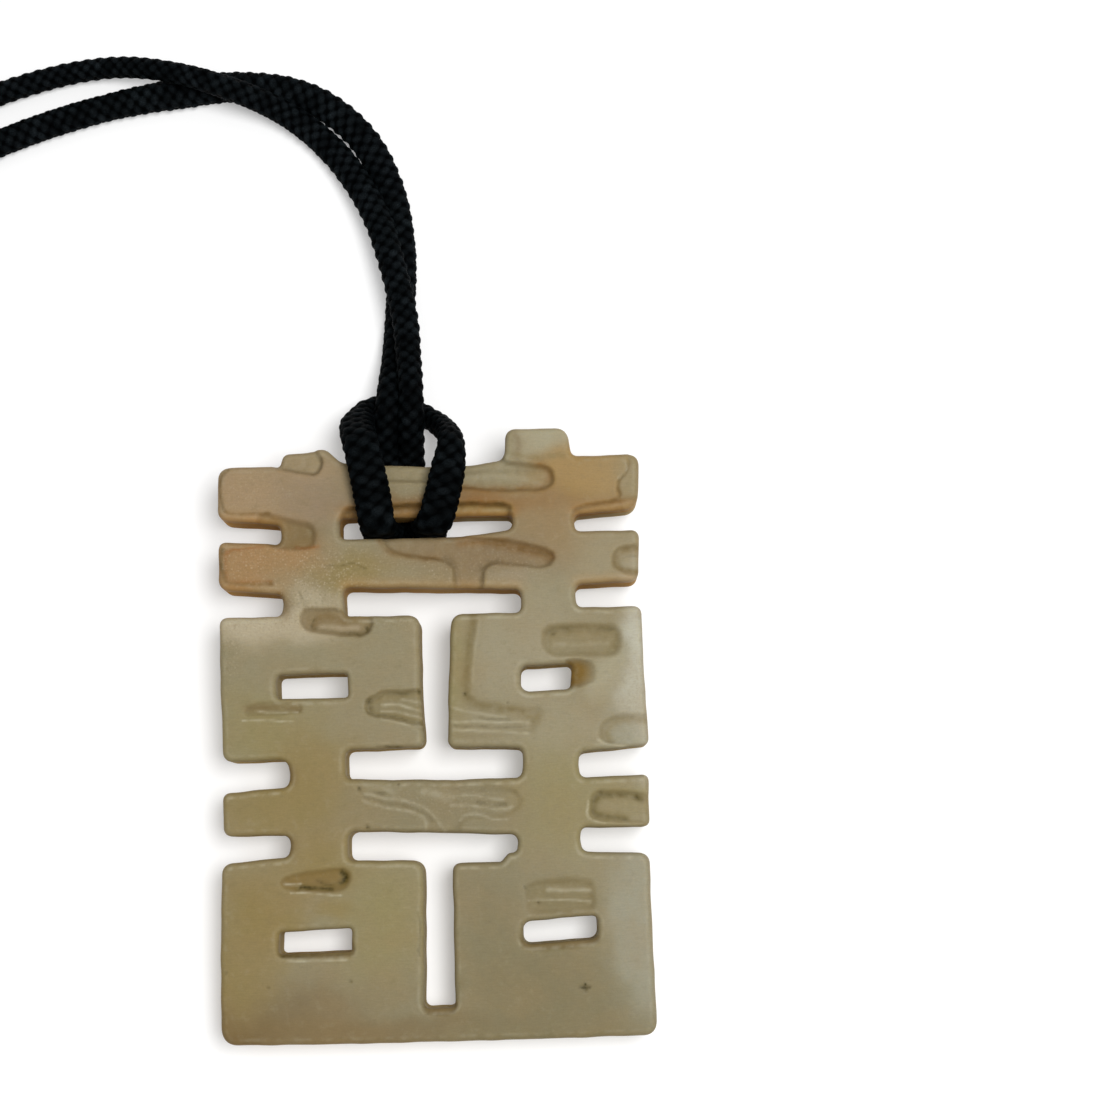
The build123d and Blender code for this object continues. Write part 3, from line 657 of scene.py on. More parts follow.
# Tool lines: height, width, share of painted highlight on the raised ones, share of darkening along the
# grooves and the points they run through.
LINES = [
    # top bar
    (0.05, 0.35, 0.14, 0, [(3.6, 54.2), (6.7, 54.4), (9.7, 53.9), (10.8, 53.4)]),
    (-0.04, 0.28, 0, 0.14, [(3.5, 54.7), (6.7, 54.8), (8.9, 54.8), (11.4, 54.9)]),
    (-0.06, 0.22, 0, 0.28, [(-14.6, 55.5), (-13.7, 55.4), (-12.4, 55.0), (-11.3, 54.8), (-10.8, 55.1),
        (-10.5, 55.9), (-10.5, 56.4)]),
    (0.04, 0.14, 0.4, 0, [(19.1, 55.5), (19.6, 55.1), (19.5, 54.4), (18.7, 53.7)]),
    (-0.02, 0.12, 0, 0.45, [(-7.9, 51.4), (-2.0, 51.65), (4.0, 51.62), (7.5, 51.45)]),
    # second bar
    (-0.08, 0.22, 0, 0.22, [(3.1, 47.8), (5.1, 48.0), (6.5, 47.8), (8.7, 47.1), (11.1, 46.5),
        (11.7, 46.3)]),
    (-0.05, 0.2, 0, 0.22, [(-4.9, 48.1), (-4.5, 47.4), (-3.8, 46.8), (-2.6, 46.5), (-0.5, 46.2),
        (0.7, 46.2)]),
    (-0.04, 0.3, 0, 0.22, [(1.5, 46.3), (2.3, 45.7), (2.5, 44.6), (2.2, 43.5)]),
    (-0.04, 0.3, 0, 0.22, [(6.5, 45.8), (5.4, 45.7), (4.8, 44.9), (4.8, 43.4)]),
    (-0.03, 0.09, 0, 0.5, [(-10.0, 45.8), (-8.8, 45.7), (-7.4, 46.0), (-6.9, 45.7), (-6.3, 45.4)]),
    (-0.02, 0.14, 0, 0.2, [(18.5, 45.5), (19.2, 45.9), (20.2, 46.0)]),
    (-0.03, 0.1, 0, 0.45, [(-12.7, 43.3), (-12.4, 42.5), (-12.2, 41.7)]),
    # upper left box
    (-0.05, 0.1, 0, 0.65, [(-11.7, 39.8), (-11.5, 40.3), (-11.2, 40.8)]),
    (-0.05, 0.17, 0, 0.7, [(-6.3, 39.6), (-6.2, 39.3), (-6.8, 39.05), (-8.0, 39.15)]),
    (-0.03, 0.12, 0, 0.35, [(-11.6, 39.75), (-10.0, 39.45), (-8.0, 39.15)]),
    (0.1, 0.16, 0.45, 0, [(-4.9, 32.1), (-3.0, 32.05), (-0.9, 31.25)]),
    (0.08, 0.14, 0.4, 0, [(-5.0, 30.75), (-3.2, 30.3), (-1.2, 29.85)]),
    (0.06, 0.14, 0.3, 0, [(-3.0, 32.6), (-0.9, 32.1)]),
    (0.08, 0.14, 0.35, 0, [(-5.0, 31.5), (-3.2, 31.3), (-1.0, 30.7)]),
    (-0.1, 0.12, 0, 0.45, [(-6.2, 31.4), (-5.3, 31.05), (-5.0, 31.2), (-4.4, 31.0), (-2.8, 30.65),
        (-1.1, 30.2)]),
    (-0.08, 0.13, 0, 0.45, [(-5.6, 32.7), (-4.9, 32.9), (-4.5, 33.1), (-3.4, 33.15), (-1.1, 33.2)]),
    (-0.03, 0.28, 0, 0.12, [(-17.9, 32.1), (-16.7, 32.1), (-14.4, 32.0), (-12.9, 31.8)]),
    (0.05, 0.09, 0.4, 0, [(-16.8, 31.75), (-15.1, 31.65), (-13.1, 31.6)]),
    (0.05, 0.1, 0.5, 0, [(-18.4, 30.95), (-16.3, 30.85), (-13.6, 30.7)]),
    (-0.03, 0.12, 0, 0.6, [(-5.4, 28.1), (-4.3, 28.1), (-3.1, 28.0)]),
    # upper right box
    (-0.03, 0.45, 0, 0.06, [(4.1, 40.6), (3.9, 39.4), (3.6, 37.6), (3.3, 35.4), (3.15, 33.5),
        (3.2, 32.5), (4.7, 31.6), (6.7, 31.4), (8.6, 31.0), (10.1, 31.2)]),
    (0.03, 0.16, 0.22, 0, [(4.7, 40.4), (4.5, 39.0), (4.1, 37.0), (3.8, 34.0)]),
    (0.04, 0.16, 0.3, 0, [(1.8, 31.7), (3.1, 31.2), (4.7, 30.9), (7.0, 30.6)]),
    (0.08, 0.17, 0.4, 0, [(1.8, 30.25), (4.6, 30.2), (7.0, 30.1), (9.1, 30.0)]),
    (0.08, 0.16, 0.4, 0, [(1.8, 29.45), (4.6, 29.3), (7.0, 29.1), (9.1, 28.9)]),
    (-0.03, 0.13, 0, 0.35, [(4.5, 30.5), (6.0, 30.4), (7.5, 30.3)]),
    (-0.04, 0.14, 0, 0.3, [(2.0, 29.85), (5.3, 29.7), (8.6, 29.5)]),
    (-0.04, 0.3, 0, 0.3, [(11.3, 38.7), (12.1, 38.95), (14.5, 39.0), (17.4, 38.8)]),
    (0.07, 0.3, 0.2, 0, [(11.9, 37.5), (14.1, 37.4), (16.9, 37.5)]),
    (0.04, 0.13, 0.45, 0, [(15.9, 28.1), (16.6, 27.7), (18.5, 27.45)]),
    # lower bar
    (0.05, 0.16, 0.32, 0, [(-6.9, 22.9), (-6.2, 22.6), (-4.2, 22.1), (-2.3, 21.8), (-1.1, 21.4),
        (-0.8, 20.8), (-0.9, 20.0)]),
    (0.05, 0.16, 0.32, 0, [(-6.7, 23.6), (-5.2, 23.1), (-2.6, 22.8), (-1.1, 22.2), (-0.1, 21.3),
        (0.4, 20.5), (1.0, 19.8)]),
    (-0.05, 0.2, 0, 0.2, [(-6.8, 23.25), (-5.2, 22.75), (-2.6, 22.35), (-1.2, 21.8), (-0.4, 20.9)]),
    (0.05, 0.16, 0.32, 0, [(1.5, 22.2), (3.0, 22.2), (4.4, 22.0), (5.8, 21.7), (7.0, 21.8), (7.5, 22.0)]),
    (0.05, 0.14, 0.32, 0, [(2.4, 20.8), (2.8, 21.3), (3.6, 21.4), (4.6, 21.2), (5.8, 20.8), (6.9, 20.8)]),
    (0.05, 0.16, 0.32, 0, [(2.1, 23.1), (3.5, 23.3), (5.0, 22.8), (6.6, 22.6)]),
    (0.03, 0.4, 0.28, 0, [(-1.0, 23.6), (0.1, 23.3), (1.5, 22.9)]),
    (0.02, 0.3, 0.22, 0, [(-6.3, 24.4), (-5.0, 24.2), (-4.0, 23.6)]),
    (-0.03, 0.14, 0, 0.45, [(-5.7, 23.65), (-4.8, 23.55)]),
    (-0.04, 0.2, 0, 0.35, [(4.2, 22.45), (5.6, 22.2), (6.8, 22.2)]),
    (-0.02, 0.22, 0, 0.2, [(1.5, 23.9), (4.6, 23.65), (7.8, 23.4)]),
    (-0.07, 0.2, 0, 0.36, [(15.2, 22.3), (15.7, 22.95), (16.8, 22.8), (18.4, 22.7), (18.8, 22.65),
        (19.9, 22.2)]),
    (-0.05, 0.17, 0, 0.28, [(15.2, 21.8), (15.2, 21.2), (15.6, 20.9), (16.9, 20.7), (18.3, 20.45)]),
    (0.03, 0.12, 0.45, 0, [(14.7, 22.3), (14.55, 21.1), (14.8, 20.5), (16.3, 20.15)]),
    # lower left box
    (-0.06, 0.15, 0, 1.0, [(-12.9, 14.9), (-11.8, 14.8), (-9.9, 14.65)]),
    (-0.05, 0.24, 0, 1.0, [(-9.0, 16.2), (-8.6, 15.9), (-8.6, 15.6), (-9.1, 15.3)]),
    (-0.02, 0.16, 0, 0.45, [(-9.5, 15.2), (-10.4, 15.05), (-11.3, 15.5)]),
    (0.05, 0.1, 0.55, 0, [(-14.4, 15.2), (-13.5, 15.2), (-12.9, 15.2)]),
    (0.05, 0.12, 0.6, 0, [(-13.8, 14.4), (-11.5, 14.3), (-9.1, 14.05)]),
    (0.05, 0.11, 0.55, 0, [(-14.4, 8.0), (-11.6, 8.0), (-8.7, 8.0)]),
    (-0.03, 0.14, 0, 0.5, [(-14.9, 8.45), (-11.5, 8.4), (-8.4, 8.45)]),
    (-0.02, 0.1, 0, 0.4, [(-1.75, 12.3), (-1.6, 10.5), (-1.75, 8.2)]),
    # lower right box
    (-0.04, 0.11, 0, 1.0, [(13.45, 4.8), (14.4, 4.85)]),
    (-0.04, 0.11, 0, 1.0, [(13.95, 5.15), (13.9, 4.5)]),
    (0.07, 0.22, 0.38, 0, [(10.6, 14.0), (11.8, 13.9), (14.6, 13.9)]),
    (0.06, 0.12, 0.38, 0, [(8.7, 13.1), (11.8, 13.0), (14.6, 12.8)]),
]
# Bands of another tint. Columns: tint, half width, share and the points they run through.
BANDS = [
    ("amber", 0.4, 0.6, [(10.9, 55.4), (11.8, 54.8), (12.0, 54.1), (11.5, 53.1), (10.1, 52.9),
        (6.9, 52.9), (3.3, 53.2)]),
    ("amber", 0.5, 0.8, [(3.1, 47.8), (5.1, 48.0), (6.5, 47.75), (8.7, 47.15), (11.1, 46.55),
        (11.9, 46.2)]),
    ("umber", 0.38, 0.55, [(5.6, 47.6), (8.7, 47.0), (11.3, 46.4), (11.5, 45.8)]),
    ("amber", 0.35, 0.5, [(-4.9, 48.1), (-4.5, 47.4), (-3.8, 46.8), (-2.6, 46.6), (-0.5, 46.2),
        (0.7, 46.3)]),
    ("umber", 0.45, 0.5, [(8.6, 58.6), (9.0, 57.4), (8.6, 56.0)]),
    ("rust", 0.14, 0.8, [(-19.7, 47.3), (-19.2, 47.7), (-18.1, 47.65), (-17.1, 47.8), (-16.3, 47.8)]),
    ("rust", 0.16, 0.6, [(-13.0, 47.7), (-12.0, 47.6), (-10.8, 47.7)]),
    ("khaki", 0.6, 0.7, [(11.8, 38.5), (12.8, 38.8), (16.6, 38.7), (17.6, 38.3), (17.8, 37.4),
        (17.3, 36.8)]),
    ("khaki", 0.65, 0.75, [(4.1, 40.6), (3.9, 39.4), (3.6, 37.6), (3.3, 35.4), (3.15, 33.5), (3.2, 32.5),
        (4.7, 31.6), (6.7, 31.4), (8.8, 31.1), (9.6, 30.4)]),
    ("khaki", 0.45, 0.7, [(21.5, 30.0), (17.8, 30.0), (16.9, 29.6), (16.6, 28.7), (17.0, 28.1)]),
    ("amber", 0.28, 0.7, [(-8.2, 51.35), (-2.0, 51.6), (4.0, 51.6), (7.6, 51.5), (8.2, 51.2),
        (8.4, 50.4)]),
    ("amber", 0.28, 0.6, [(14.2, 50.9), (17.0, 51.35), (20.8, 51.45)]),
    ("umber", 0.22, 0.6, [(19.9, 55.2), (19.5, 54.3), (18.7, 53.6), (18.6, 52.6), (18.9, 51.9),
        (18.0, 51.5)]),
    ("dun", 0.36, 0.95, [(21.0, 46.7), (19.2, 46.6), (18.35, 46.2), (18.15, 45.5), (18.4, 44.9),
        (19.2, 44.5), (21.0, 44.3)]),
    ("khaki", 0.4, 0.6, [(-5.8, 32.6), (-4.0, 33.0), (-1.1, 33.0)]),
    ("khaki", 0.35, 0.5, [(-6.2, 31.6), (-4.4, 31.1), (-1.1, 30.4)]),
    ("drab", 0.36, 0.7, [(19.9, 22.35), (18.6, 22.65), (15.9, 22.85), (15.3, 22.1), (15.3, 21.3),
        (15.9, 20.95), (18.3, 20.6)]),
    ("drab", 0.3, 0.7, [(-13.2, 14.85), (-11.8, 14.85), (-9.8, 14.8), (-8.75, 15.4), (-8.9, 16.2)]),
    ("khaki", 0.35, 0.55, [(8.15, 58.4), (8.05, 57.2), (8.0, 56.3), (10.4, 55.9), (13.2, 56.1)]),
    ("umber", 0.35, 0.6, [(-8.3, 50.95), (-4.3, 51.1), (-1.5, 51.15)]),
    ("olive", 0.4, 0.7, [(-0.5, 51.05), (4.0, 51.1), (7.9, 50.95)]),
    ("umber", 0.16, 0.85, [(-15.6, 51.15), (-19.4, 51.1), (-20.2, 51.7), (-20.45, 53.5), (-20.35, 54.9),
        (-19.6, 55.5)]),
    ("umber", 0.22, 0.95, [(-15.4, 44.15), (-19.5, 44.2), (-20.1, 44.7), (-20.4, 46.5), (-20.2, 47.6)]),
    ("rust", 0.16, 0.5, [(-15.4, 44.4), (-19.4, 44.5), (-19.9, 44.9), (-20.0, 46.5), (-19.8, 47.4)]),
    ("chalky", 0.28, 0.6, [(-10.9, 39.85), (-9.0, 39.75), (-7.2, 39.7)]),
    ("umber", 0.5, 0.6, [(-13.9, 26.2), (-13.6, 25.6), (-13.8, 25.1)]),
    ("umber", 0.5, 0.6, [(-13.8, 19.2), (-13.5, 18.8), (-13.8, 18.4)]),
    ("umber", 0.55, 0.8, [(-14.5, 43.0), (-14.0, 42.4), (-13.9, 41.8), (-14.2, 41.3)]),
    ("brown", 0.55, 0.8, [(-11.3, 40.2), (-11.0, 40.8), (-9.0, 40.75), (-8.3, 40.3)]),
    ("brown", 0.35, 0.6, [(-18.0, 32.1), (-15.0, 32.15), (-12.9, 31.9)]),
]
# Dark specks and dirt. Columns: across, up, radius, strength.
SPECKS = [
    (13.9, 4.8, 0.28, 1.0), (-7.2, 24.1, 0.18, 1.0), (-6.5, 20.4, 0.16, 0.9), (-3.4, 24.4, 0.12, 0.7),
    (-8.3, 6.0, 0.13, 0.8), (-16.1, 5.6, 0.13, 0.7), (-1.8, 8.7, 0.12, 0.7), (3.15, 32.9, 0.15, 1.0),
    (-1.3, 33.2, 0.16, 0.9), (9.7, 12.8, 0.14, 0.8), (16.0, 23.0, 0.24, 0.6), (19.4, 22.5, 0.26, 0.65),
    (-6.15, 32.5, 0.32, 0.75), (-6.0, 31.8, 0.26, 0.5), (8.5, 14.3, 0.12, 0.8), (11.8, 38.5, 0.2, 0.6),
    (7.3, 32.0, 0.12, 0.6), (-20.1, 7.0, 0.12, 0.7),
]
# Tints of the stone, as seen on the finished piece.
TINTS = {
    "stone": (148, 139, 110), "peach": (168, 143, 111), "russet": (168, 131, 88),
    "mauve": (149, 130, 107), "honey": (144, 126, 77), "amber": (140, 105, 62), "gold": (164, 135, 86),
    "rose": (137, 118, 90), "green": (152, 144, 114), "pale": (171, 166, 140), "cream": (160, 151, 124),
    "olive": (147, 136, 91), "grey": (137, 128, 99), "moss": (129, 120, 89), "mist": (159, 157, 137),
    "umber": (112, 90, 56), "brown": (128, 108, 72), "rust": (150, 98, 52), "chalk": (188, 185, 167),
    "tan": (149, 125, 88), "drab": (108, 96, 52), "dun": (122, 106, 68), "ochre": (148, 120, 66),
    "khaki": (134, 121, 84), "chalky": (186, 174, 147), "cool": (157, 147, 125),
}
# Where each tint lies. Columns: tint, across, up, reach across, reach up, strength.
PATCHES = [
    ("peach", -17.0, 52.8, 3.6, 2.6, 1.6), ("peach", -19.6, 53.2, 1.2, 2.2, 1.6),
    ("peach", -12.0, 56.0, 3.0, 1.6, 0.8), ("russet", -18.4, 46.0, 3.6, 2.2, 2.2),
    ("russet", -13.6, 46.8, 2.6, 1.4, 1.1), ("mauve", -11.8, 52.6, 3.0, 2.6, 1.2),
    ("honey", -7.4, 45.2, 3.0, 1.2, 1.1), ("russet", -17.0, 49.9, 3.6, 0.8, 1.2),
    ("amber", 4.5, 51.3, 8.5, 1.0, 3.6), ("tan", 10.8, 51.4, 3.4, 1.6, 2.4),
    ("gold", 15.2, 54.0, 3.4, 2.2, 2.6), ("gold", 12.6, 54.6, 1.6, 1.6, 1.4),
    # the umber patch at -2.4 across, between the cord's legs, is painted shadow of the cord
    ("ochre", 14.4, 52.4, 1.6, 1.2, 0.9), ("umber", -2.4, 51.9, 1.3, 0.6, 1.4),
    ("pale", 10.6, 58.2, 3.6, 1.6, 2.4), ("green", 20.4, 53.4, 1.2, 2.4, 2.6),
    ("tan", 12.3, 49.4, 3.2, 2.0, 1.5), ("rose", 5.6, 46.6, 5.5, 1.7, 1.4),
    ("chalky", -16.5, 40.1, 4.6, 1.3, 2.4), ("cream", 16.5, 46.2, 3.5, 2.2, 0.5),
    ("chalk", 20.2, 35.0, 1.2, 6.0, 4.0), ("pale", 17.0, 34.6, 1.1, 1.8, 1.6),
    ("cream", 8.5, 37.5, 5.0, 4.0, 0.9), ("cream", 13.0, 29.5, 5.0, 2.5, 0.5),
    ("olive", -16.6, 30.0, 4.0, 3.0, 1.0), ("honey", -12.0, 25.2, 3.6, 3.4, 1.3),
    ("honey", -15.5, 22.0, 5.0, 2.4, 1.1), ("grey", 0.0, 21.8, 7.5, 2.4, 1.5),
    ("olive", 11.8, 22.8, 3.5, 4.5, 0.9), ("honey", -17.0, 12.6, 3.2, 3.2, 2.2),
    ("honey", -10.8, 17.4, 2.8, 2.2, 1.4), ("honey", -18.8, 5.5, 2.4, 4.0, 1.2),
    ("honey", -9.6, 12.4, 1.4, 0.8, 0.9), ("umber", -12.5, 3.6, 6.0, 2.2, 0.4),
    ("umber", -19.6, 1.4, 3.2, 1.8, 1.8), ("grey", -3.5, 4.6, 4.0, 3.0, 0.6),
    ("moss", 9.5, 5.0, 5.5, 3.6, 3.0), ("moss", 17.0, 2.8, 3.0, 2.0, 1.1),
    ("moss", 4.6, 11.0, 2.6, 4.0, 0.9), ("mist", 19.4, 9.5, 2.0, 6.0, 2.4),
    ("mist", 19.9, 3.0, 1.2, 2.2, 0.7), ("grey", 5.4, 14.6, 4.0, 2.6, 0.9),
    ("umber", 0.2, 1.4, 6.0, 1.0, 0.4), ("brown", -11.0, 0.8, 8.0, 1.4, 1.4),
    ("moss", 10.0, 0.8, 9.0, 1.6, 2.6), ("olive", -4.8, 12.0, 3.4, 4.5, 1.2),
    ("umber", -12.6, 48.5, 1.8, 1.2, 0.6), ("mist", 18.8, 28.8, 2.0, 1.6, 1.6),
    ("cool", 8.0, 44.3, 2.0, 1.0, 1.2), ("chalky", -11.5, 42.9, 2.2, 1.2, 0.75),
    ("moss", 11.8, 13.3, 2.8, 1.2, 1.0), ("olive", 2.2, 36.0, 1.3, 4.5, 1.0),
    ("olive", 18.4, 22.0, 2.2, 2.0, 1.0),
]
# Where the polished skin gives way to a frosted one. Columns as above without tint.
FROST = [
    (-17.5, 46.5, 4.5, 2.4, 0.9), (-11.5, 43.4, 3.0, 3.0, 1.0), (-15.5, 40.4, 5.5, 1.0, 1.0),
    (-8.0, 45.8, 4.0, 2.4, 0.8), (-17.0, 53.5, 4.0, 2.4, 0.4), (0.0, 45.0, 4.0, 1.6, 0.6),
    (7.5, 45.6, 4.0, 2.2, 0.5), (19.6, 33.5, 1.6, 4.0, 0.5), (-1.0, 52.5, 2.5, 1.6, 0.5),
    (1.0, 22.5, 6.5, 1.8, 0.4), (-3.2, 40.3, 3.0, 0.8, 0.6), (-19.4, 37.5, 1.0, 3.0, 0.6),
]


def rounded_loop(corners):
    """Closed line through the corners with each rounded, in even steps."""
    places = np.array([corner[:2] for corner in corners], float)
    line = []
    for k, (u, v, rounding) in enumerate(corners):
        here, before, after = places[k], places[k - 1], places[(k + 1) % len(corners)]
        back, on = before - here, after - here
        reach = min(np.linalg.norm(back), np.linalg.norm(on)) * 0.49
        back, on = unit(back), unit(on)
        turn = math.pi - math.acos(max(-1.0, min(1.0, float(back @ on))))
        if turn < STRAIGHT_TURN:
            line.append(here)
            continue
        tangent = min(reach, rounding * math.tan(turn / 2))
        start, end = here + back * tangent, here + on * tangent
        pull = here * 0.85 + (start + end) * 0.075
        for share in np.linspace(0, 1, 9):
            rest = 1 - share
            line.append(rest ** 2 * start + 2 * share * rest * pull + share ** 2 * end)
    closed = np.vstack([line, line[:1]])
    along = lengths_along(closed)
    even = np.linspace(0, along[-1], int(along[-1] / LOOP_STEP), endpoint=False)
    return np.stack([np.interp(even, along, closed[:, k]) for k in range(2)], 1)


def loop_normals(loop):
    """Directions into the stone, which lies on the loop's left."""
    tangent = unit(np.roll(loop, -1, 0) - np.roll(loop, 1, 0))
    return np.stack([-tangent[:, 1], tangent[:, 0]], 1)


def hand_cut(loop, seed):
    """The loop with the small waves that hand cutting leaves."""
    total = len(loop)
    turn = np.arange(total) * 2 * math.pi / total
    random = np.random.default_rng(seed)
    wave = np.zeros(total)
    for size in HAND_WAVES:
        cycles = max(1, round(total * LOOP_STEP / size))
        wave += size ** 0.7 * random.normal() * np.sin(cycles * turn + random.uniform(0, 2 * math.pi))
    wave *= HAND_WOBBLE / np.abs(wave).max() * 2
    return loop + loop_normals(loop) * wave[:, None]


def cut_loop(corners, seed, anticlockwise):
    """One edge of the plate, wound so that the stone lies on its left."""
    loop = rounded_loop(corners)
    following = np.roll(loop, -1, 0)
    doubled_area = np.sum(loop[:, 0] * following[:, 1] - loop[:, 1] * following[:, 0])
    if (doubled_area > 0) != anticlockwise:
        loop = loop[::-1]
    return hand_cut(loop, seed)


def inward_reach(loop, normals, wanted):
    """How far each point may move into the stone before its neighbours cross."""
    turn = np.cross(np.roll(normals, 1, 0), np.roll(normals, -1, 0))
    step = np.linalg.norm(np.roll(loop, -1, 0) - np.roll(loop, 1, 0), axis=1)
    radius = step / np.maximum(turn, 1e-3)
    reach = np.minimum(wanted, np.where(turn > 0, 0.8 * radius, wanted))
    spread = range(-REACH_SPREAD, REACH_SPREAD + 1)
    held = np.min([np.roll(reach, k) for k in spread], axis=0)
    return np.mean([np.roll(held, k) for k in spread], axis=0)


def rings_of(loop):
    """Rings round one loop, from the back's flat over the wall to the front's flat."""
    normals = loop_normals(loop)
    reach = inward_reach(loop, normals, EDGE_ROUNDING)
    rings = []
    for turn in np.radians(BACK_TURNS):
        rings.append((1 - math.cos(turn), EDGE_ROUNDING * (1 - math.sin(turn))))
    for share in np.linspace(0, 1, WALL_RINGS + 2)[1:-1]:
        rings.append((0.0, EDGE_ROUNDING + share * (PLATE_THICKNESS - 2 * EDGE_ROUNDING)))
    for turn in np.radians(FRONT_TURNS):
        rings.append((1 - math.cos(turn), PLATE_THICKNESS - EDGE_ROUNDING * (1 - math.sin(turn))))
    return [(loop + normals * (reach * inwards)[:, None], height) for inwards, height in rings]


def nearest(places, points):
    """Which place is nearest to each point, and how far it is."""
    tree = kdtree.KDTree(len(places))
    for k, place in enumerate(places.tolist()):
        tree.insert((*place, 0), k)
    tree.balance()
    found = [tree.find((*point, 0)) for point in points.tolist()]
    return np.array([near[1] for near in found]), np.array([near[2] for near in found])


def rows_inside(loops, step):
    """Staggered grid points inside the stone."""
    starts, ends = np.vstack(loops), np.vstack([np.roll(loop, -1, 0) for loop in loops])
    low, high = starts.min(0), starts.max(0)
    rise = step * math.sqrt(3) / 2
    points = []
    for row, v in enumerate(np.arange(low[1] + rise / 2, high[1], rise)):
        crossed = (starts[:, 1] <= v) != (ends[:, 1] <= v)
        a, b = starts[crossed], ends[crossed]
        cuts = np.sort(a[:, 0] + (v - a[:, 1]) * (b[:, 0] - a[:, 0]) / (b[:, 1] - a[:, 1]))
        for left, right in zip(cuts[::2], cuts[1::2]):
            shift = (row % 2) * step / 2
            first = math.ceil((left - low[0] - shift) / step)
            last = math.floor((right - low[0] - shift) / step)
            points += [(low[0] + shift + k * step, v) for k in range(first, last + 1)]
    points = np.array(points)
    return points[nearest(starts, points)[1] > GRID_CLEARANCE * step]


def inside(loops, points):
    """Whether each point lies in the stone, by the edges to its right."""
    starts, ends = np.vstack(loops), np.vstack([np.roll(loop, -1, 0) for loop in loops])
    u, v = points[:, :1], points[:, 1:2]
    crossed = (starts[:, 1] <= v) != (ends[:, 1] <= v)
    rise = ends[:, 1] - starts[:, 1]
    rise = np.where(np.abs(rise) < 1e-12, 1e-12, rise)
    at = starts[:, 0] + (v - starts[:, 1]) * (ends[:, 0] - starts[:, 0]) / rise
    return (np.sum(crossed & (at > u), axis=1) % 2) == 1


def fill_flat(loops, step):
    """Triangles between the loops. Points are the loops' own first, then the grid's."""
    rim = np.vstack(loops)
    points = np.vstack([rim, rows_inside(loops, step)])
    edges, first = [], 0
    for loop in loops:
        total = len(loop)
        edges += [(first + k, first + (k + 1) % total) for k in range(total)]
        first += total
    made = delaunay_2d_cdt([Vector(point) for point in points.tolist()], edges, [], 0, 1e-7, True)
    faces, sources = made[2:4]
    index = [ids[0] if ids else -1 for ids in sources]
    triangles = np.array([[index[k] for k in face] for face in faces])
    triangles = triangles[(triangles >= 0).all(1)]
    on_rim = (triangles < len(rim)).all(1)
    keep = ~on_rim
    keep[on_rim] = inside(loops, points[triangles[on_rim]].mean(1))
    return points, triangles[keep]


def plate_mesh(loops):
    """Places over the outline, heights and faces of the plate before it is carved."""
    banded = [rings_of(loop) for loop in loops]
    levels = len(banded[0])
    places, heights, faces, first, total = [], [], [], {}, 0
    for level in range(levels):
        for number, rings in enumerate(banded):
            ring, height = rings[level]
            first[level, number] = total
            places.append(ring)
            heights.append(np.full(len(ring), height))
            total += len(ring)
    for level in range(levels - 1):
        for number, loop in enumerate(loops):
            here = np.arange(len(loop))
            beside = (here + 1) % len(loop)
            low, high = first[level, number], first[level + 1, number]
            faces += np.stack([low + here, low + beside, high + beside, high + here], 1).tolist()
    on_rim = sum(len(loop) for loop in loops)
    for level, step, height in ((0, BACK_STEP, 0.0), (levels - 1, GRID_STEP, PLATE_THICKNESS)):
        flat, triangles = fill_flat([rings[level][0] for rings in banded], step)
        added = len(flat) - on_rim
        index = np.concatenate([np.arange(on_rim) + first[level, 0], np.arange(added) + total])
        places.append(flat[on_rim:])
        heights.append(np.full(added, height))
        total += added
        a, b, c = (flat[triangles[:, k]] for k in range(3))
        upwards = np.cross(b - a, c - a) > 0
        turned = upwards == (level == 0)
        triangles = np.where(turned[:, None], triangles[:, ::-1], triangles)
        faces += index[triangles].tolist()
    return np.vstack(places), np.concatenate(heights), faces


def cut_corners(corners, closed):
    """The line with its corners cut twice, so that it bends softly."""
    line = np.array(corners, float)
    near, far = CORNER_CUT, 1 - CORNER_CUT
    for _ in range(2):
        starts, ends = (line, np.roll(line, -1, 0)) if closed else (line[:-1], line[1:])
        cut = np.stack([far * starts + near * ends, near * starts + far * ends], 1).reshape(-1, 2)
        line = cut if closed else np.vstack([line[:1], cut[1:-1], line[-1:]])
    return line


def line_distance(points, line):
    """Distance of each point from the nearest part of the line."""
    nearest_yet = np.full(len(points), 1e9)
    for start, end in zip(line[:-1], line[1:]):
        run = end - start
        share = np.clip(((points - start) @ run) / (run @ run), 0, 1)
        nearest_yet = np.minimum(nearest_yet, np.linalg.norm(points - start - share[:, None] * run, axis=1))
    return nearest_yet


def hollow_depth(points, corners):
    """Distance into a hollow's outline, negative outside."""
    line = cut_corners(corners, True)
    distance = line_distance(points, np.vstack([line, line[:1]]))
    return np.where(inside([line], points), distance, -distance)


def stroke(points, corners, width):
    """One along a line, fading to nothing beside it."""
    return np.exp(-(line_distance(points, cut_corners(corners, False)) / width) ** 2)


def fading(distance, width):
    """One at no distance, falling softly to nothing beyond the width."""
    return np.exp(-(distance / width) ** 2)


def waves(points, size, seed):
    """Smooth noise between about -1 and 1 over the plate."""
    shift = Vector((seed * 17.3, seed * 5.1, seed * 2.9))
    return np.array([noise.fractal(Vector((u / size, v / size, 0)) + shift, 0.9, 2.0, 3)
                     for u, v in points.tolist()])


def moved(points, size, reach, seed):
    """The points pushed about by smooth noise."""
    return points + np.stack([waves(points, size, seed), waves(points, size, seed + 1)], 1) * reach


def bell(points, u, v, across, up, strength):
    """A soft patch round one place of the plate."""
    return strength * np.exp(-((points[:, 0] - u) / across) ** 2 - ((points[:, 1] - v) / up) ** 2)


